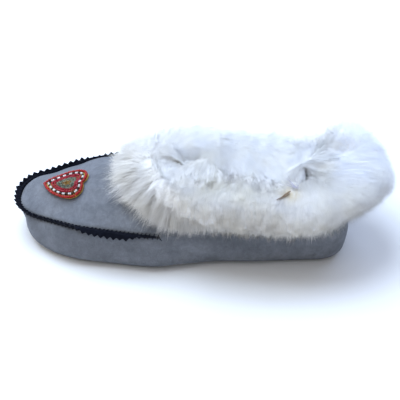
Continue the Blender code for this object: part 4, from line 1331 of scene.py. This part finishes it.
def wisp_and_shadow_lines(fur, rng):
    """The few dark hairs, a brown wisp and grey hairs as painted shadow: where they start round the collar, their
    lines, the way they face and their colour.
    """
    t, made = ALONG_HAIR, []
    for start, end, count, root_apart, tip_apart, colour in WISPS_AND_SHADOW_HAIRS:
        lap, turn = blend(start[0], end[0], t), np.radians(blend(start[1], end[1], t))
        middle = fur.at(lap, turn, fur.fullness(lap, turn) + 0.03 + 0.05 * t)
        lines = middle[None] + rng.normal(0, root_apart, (count, 1, 3)) * (1 - t)[None, :, None]
        lines = lines + rng.normal(0, tip_apart, (count, 1, 3)) * t[None, :, None]
        made.append((start[0], lines, np.repeat(fur.facing(lap, turn)[None], count, axis=0), colour))
    return made


# ---- Camera, floor and light ----


def make_camera():
    """The photograph's angle to the shoe."""
    elevation, turn = math.radians(ELEVATION), math.radians(TURN)
    flat = math.cos(elevation)
    direction = Vector((flat * math.cos(turn), flat * math.sin(turn), math.sin(elevation)))
    right = Vector((-math.sin(turn), math.cos(turn), 0))
    camera = add("camera", bpy.data.cameras.new("camera"))
    camera.data.angle = math.radians(VIEW)
    camera.data.clip_start = 0.01
    camera.location = direction * DISTANCE
    camera.rotation_euler = direction.to_track_quat("Z", "Y").to_euler()
    middle = (cad_low + cad_high) / 2
    middle.z = LOOK_HEIGHT
    frame_width = 2 * math.tan(camera.data.angle / 2) * DISTANCE
    camera.data.shift_x = middle.dot(right) / frame_width
    camera.data.shift_y = middle.dot(direction.cross(right)) / frame_width
    bpy.context.scene.camera = camera


def make_floor():
    mesh = bpy.data.meshes.new("floor")
    mesh.from_pydata([(-4, -4, 0), (4, -4, 0), (4, 4, 0), (-4, 4, 0)], [], [(0, 1, 2, 3)])
    made = Finish("pale_floor", Roughness=0.9, Specular_IOR_Level=0.1)
    colour = made.cloudy(made.noise(300.0, 2.0), (0.86, 0.865, 0.875), (0.89, 0.89, 0.895))
    made.feed(made.shader.inputs["Base Color"], colour)
    mesh.materials.append(made.material)
    floor = add("floor", mesh)
    floor.location.z = FLOOR_HEIGHT


def make_light_and_sky():
    scene = bpy.context.scene
    scene.view_settings.view_transform = "Standard"
    scene.view_settings.look = "None"
    scene.world = bpy.data.worlds.new("sky")
    scene.world.use_nodes = True
    sky = scene.world.node_tree.nodes["Background"]
    sky.inputs["Color"].default_value = (*SKY, 1)
    sky.inputs["Strength"].default_value = SKY_STRENGTH
    for name, (place, aim, size, power, colour) in LIGHTS.items():
        light = add(name, bpy.data.lights.new(name, "AREA"))
        light.data.shape = "DISK"
        light.data.size = size
        light.data.energy = power
        light.data.color = colour
        light.location = place
        light.rotation_euler = (Vector(place) - Vector(aim)).to_track_quat("Z", "Y").to_euler()
    scene.cycles.diffuse_bounces = 6
    scene.cycles.max_bounces = 10


def main():
    make_camera()
    make_floor()
    make_light_and_sky()
    last = Last()
    suede, fleece, felt = suede_finish(), fleece_finish(), felt_finish()
    surface = make_upper(last, suede, fleece)
    make_outsole(last, leather_finish("charcoal_sole_leather", (0.030, 0.033, 0.040), (0.060, 0.065, 0.075)))
    make_insole(last, fleece)
    seam_line = Seam(last)
    make_strip(seam_line, felt)
    make_stitches(seam_line, felt)
    make_backing(surface, leather_finish("yellow_leather", (0.42, 0.26, 0.045), (0.62, 0.42, 0.10), 0.6))
    make_beads(surface)
    fur = Fur(last)
    make_pelt(last, fur, pelt_finish())
    make_hair(fur, surface, fur_finish())


main()
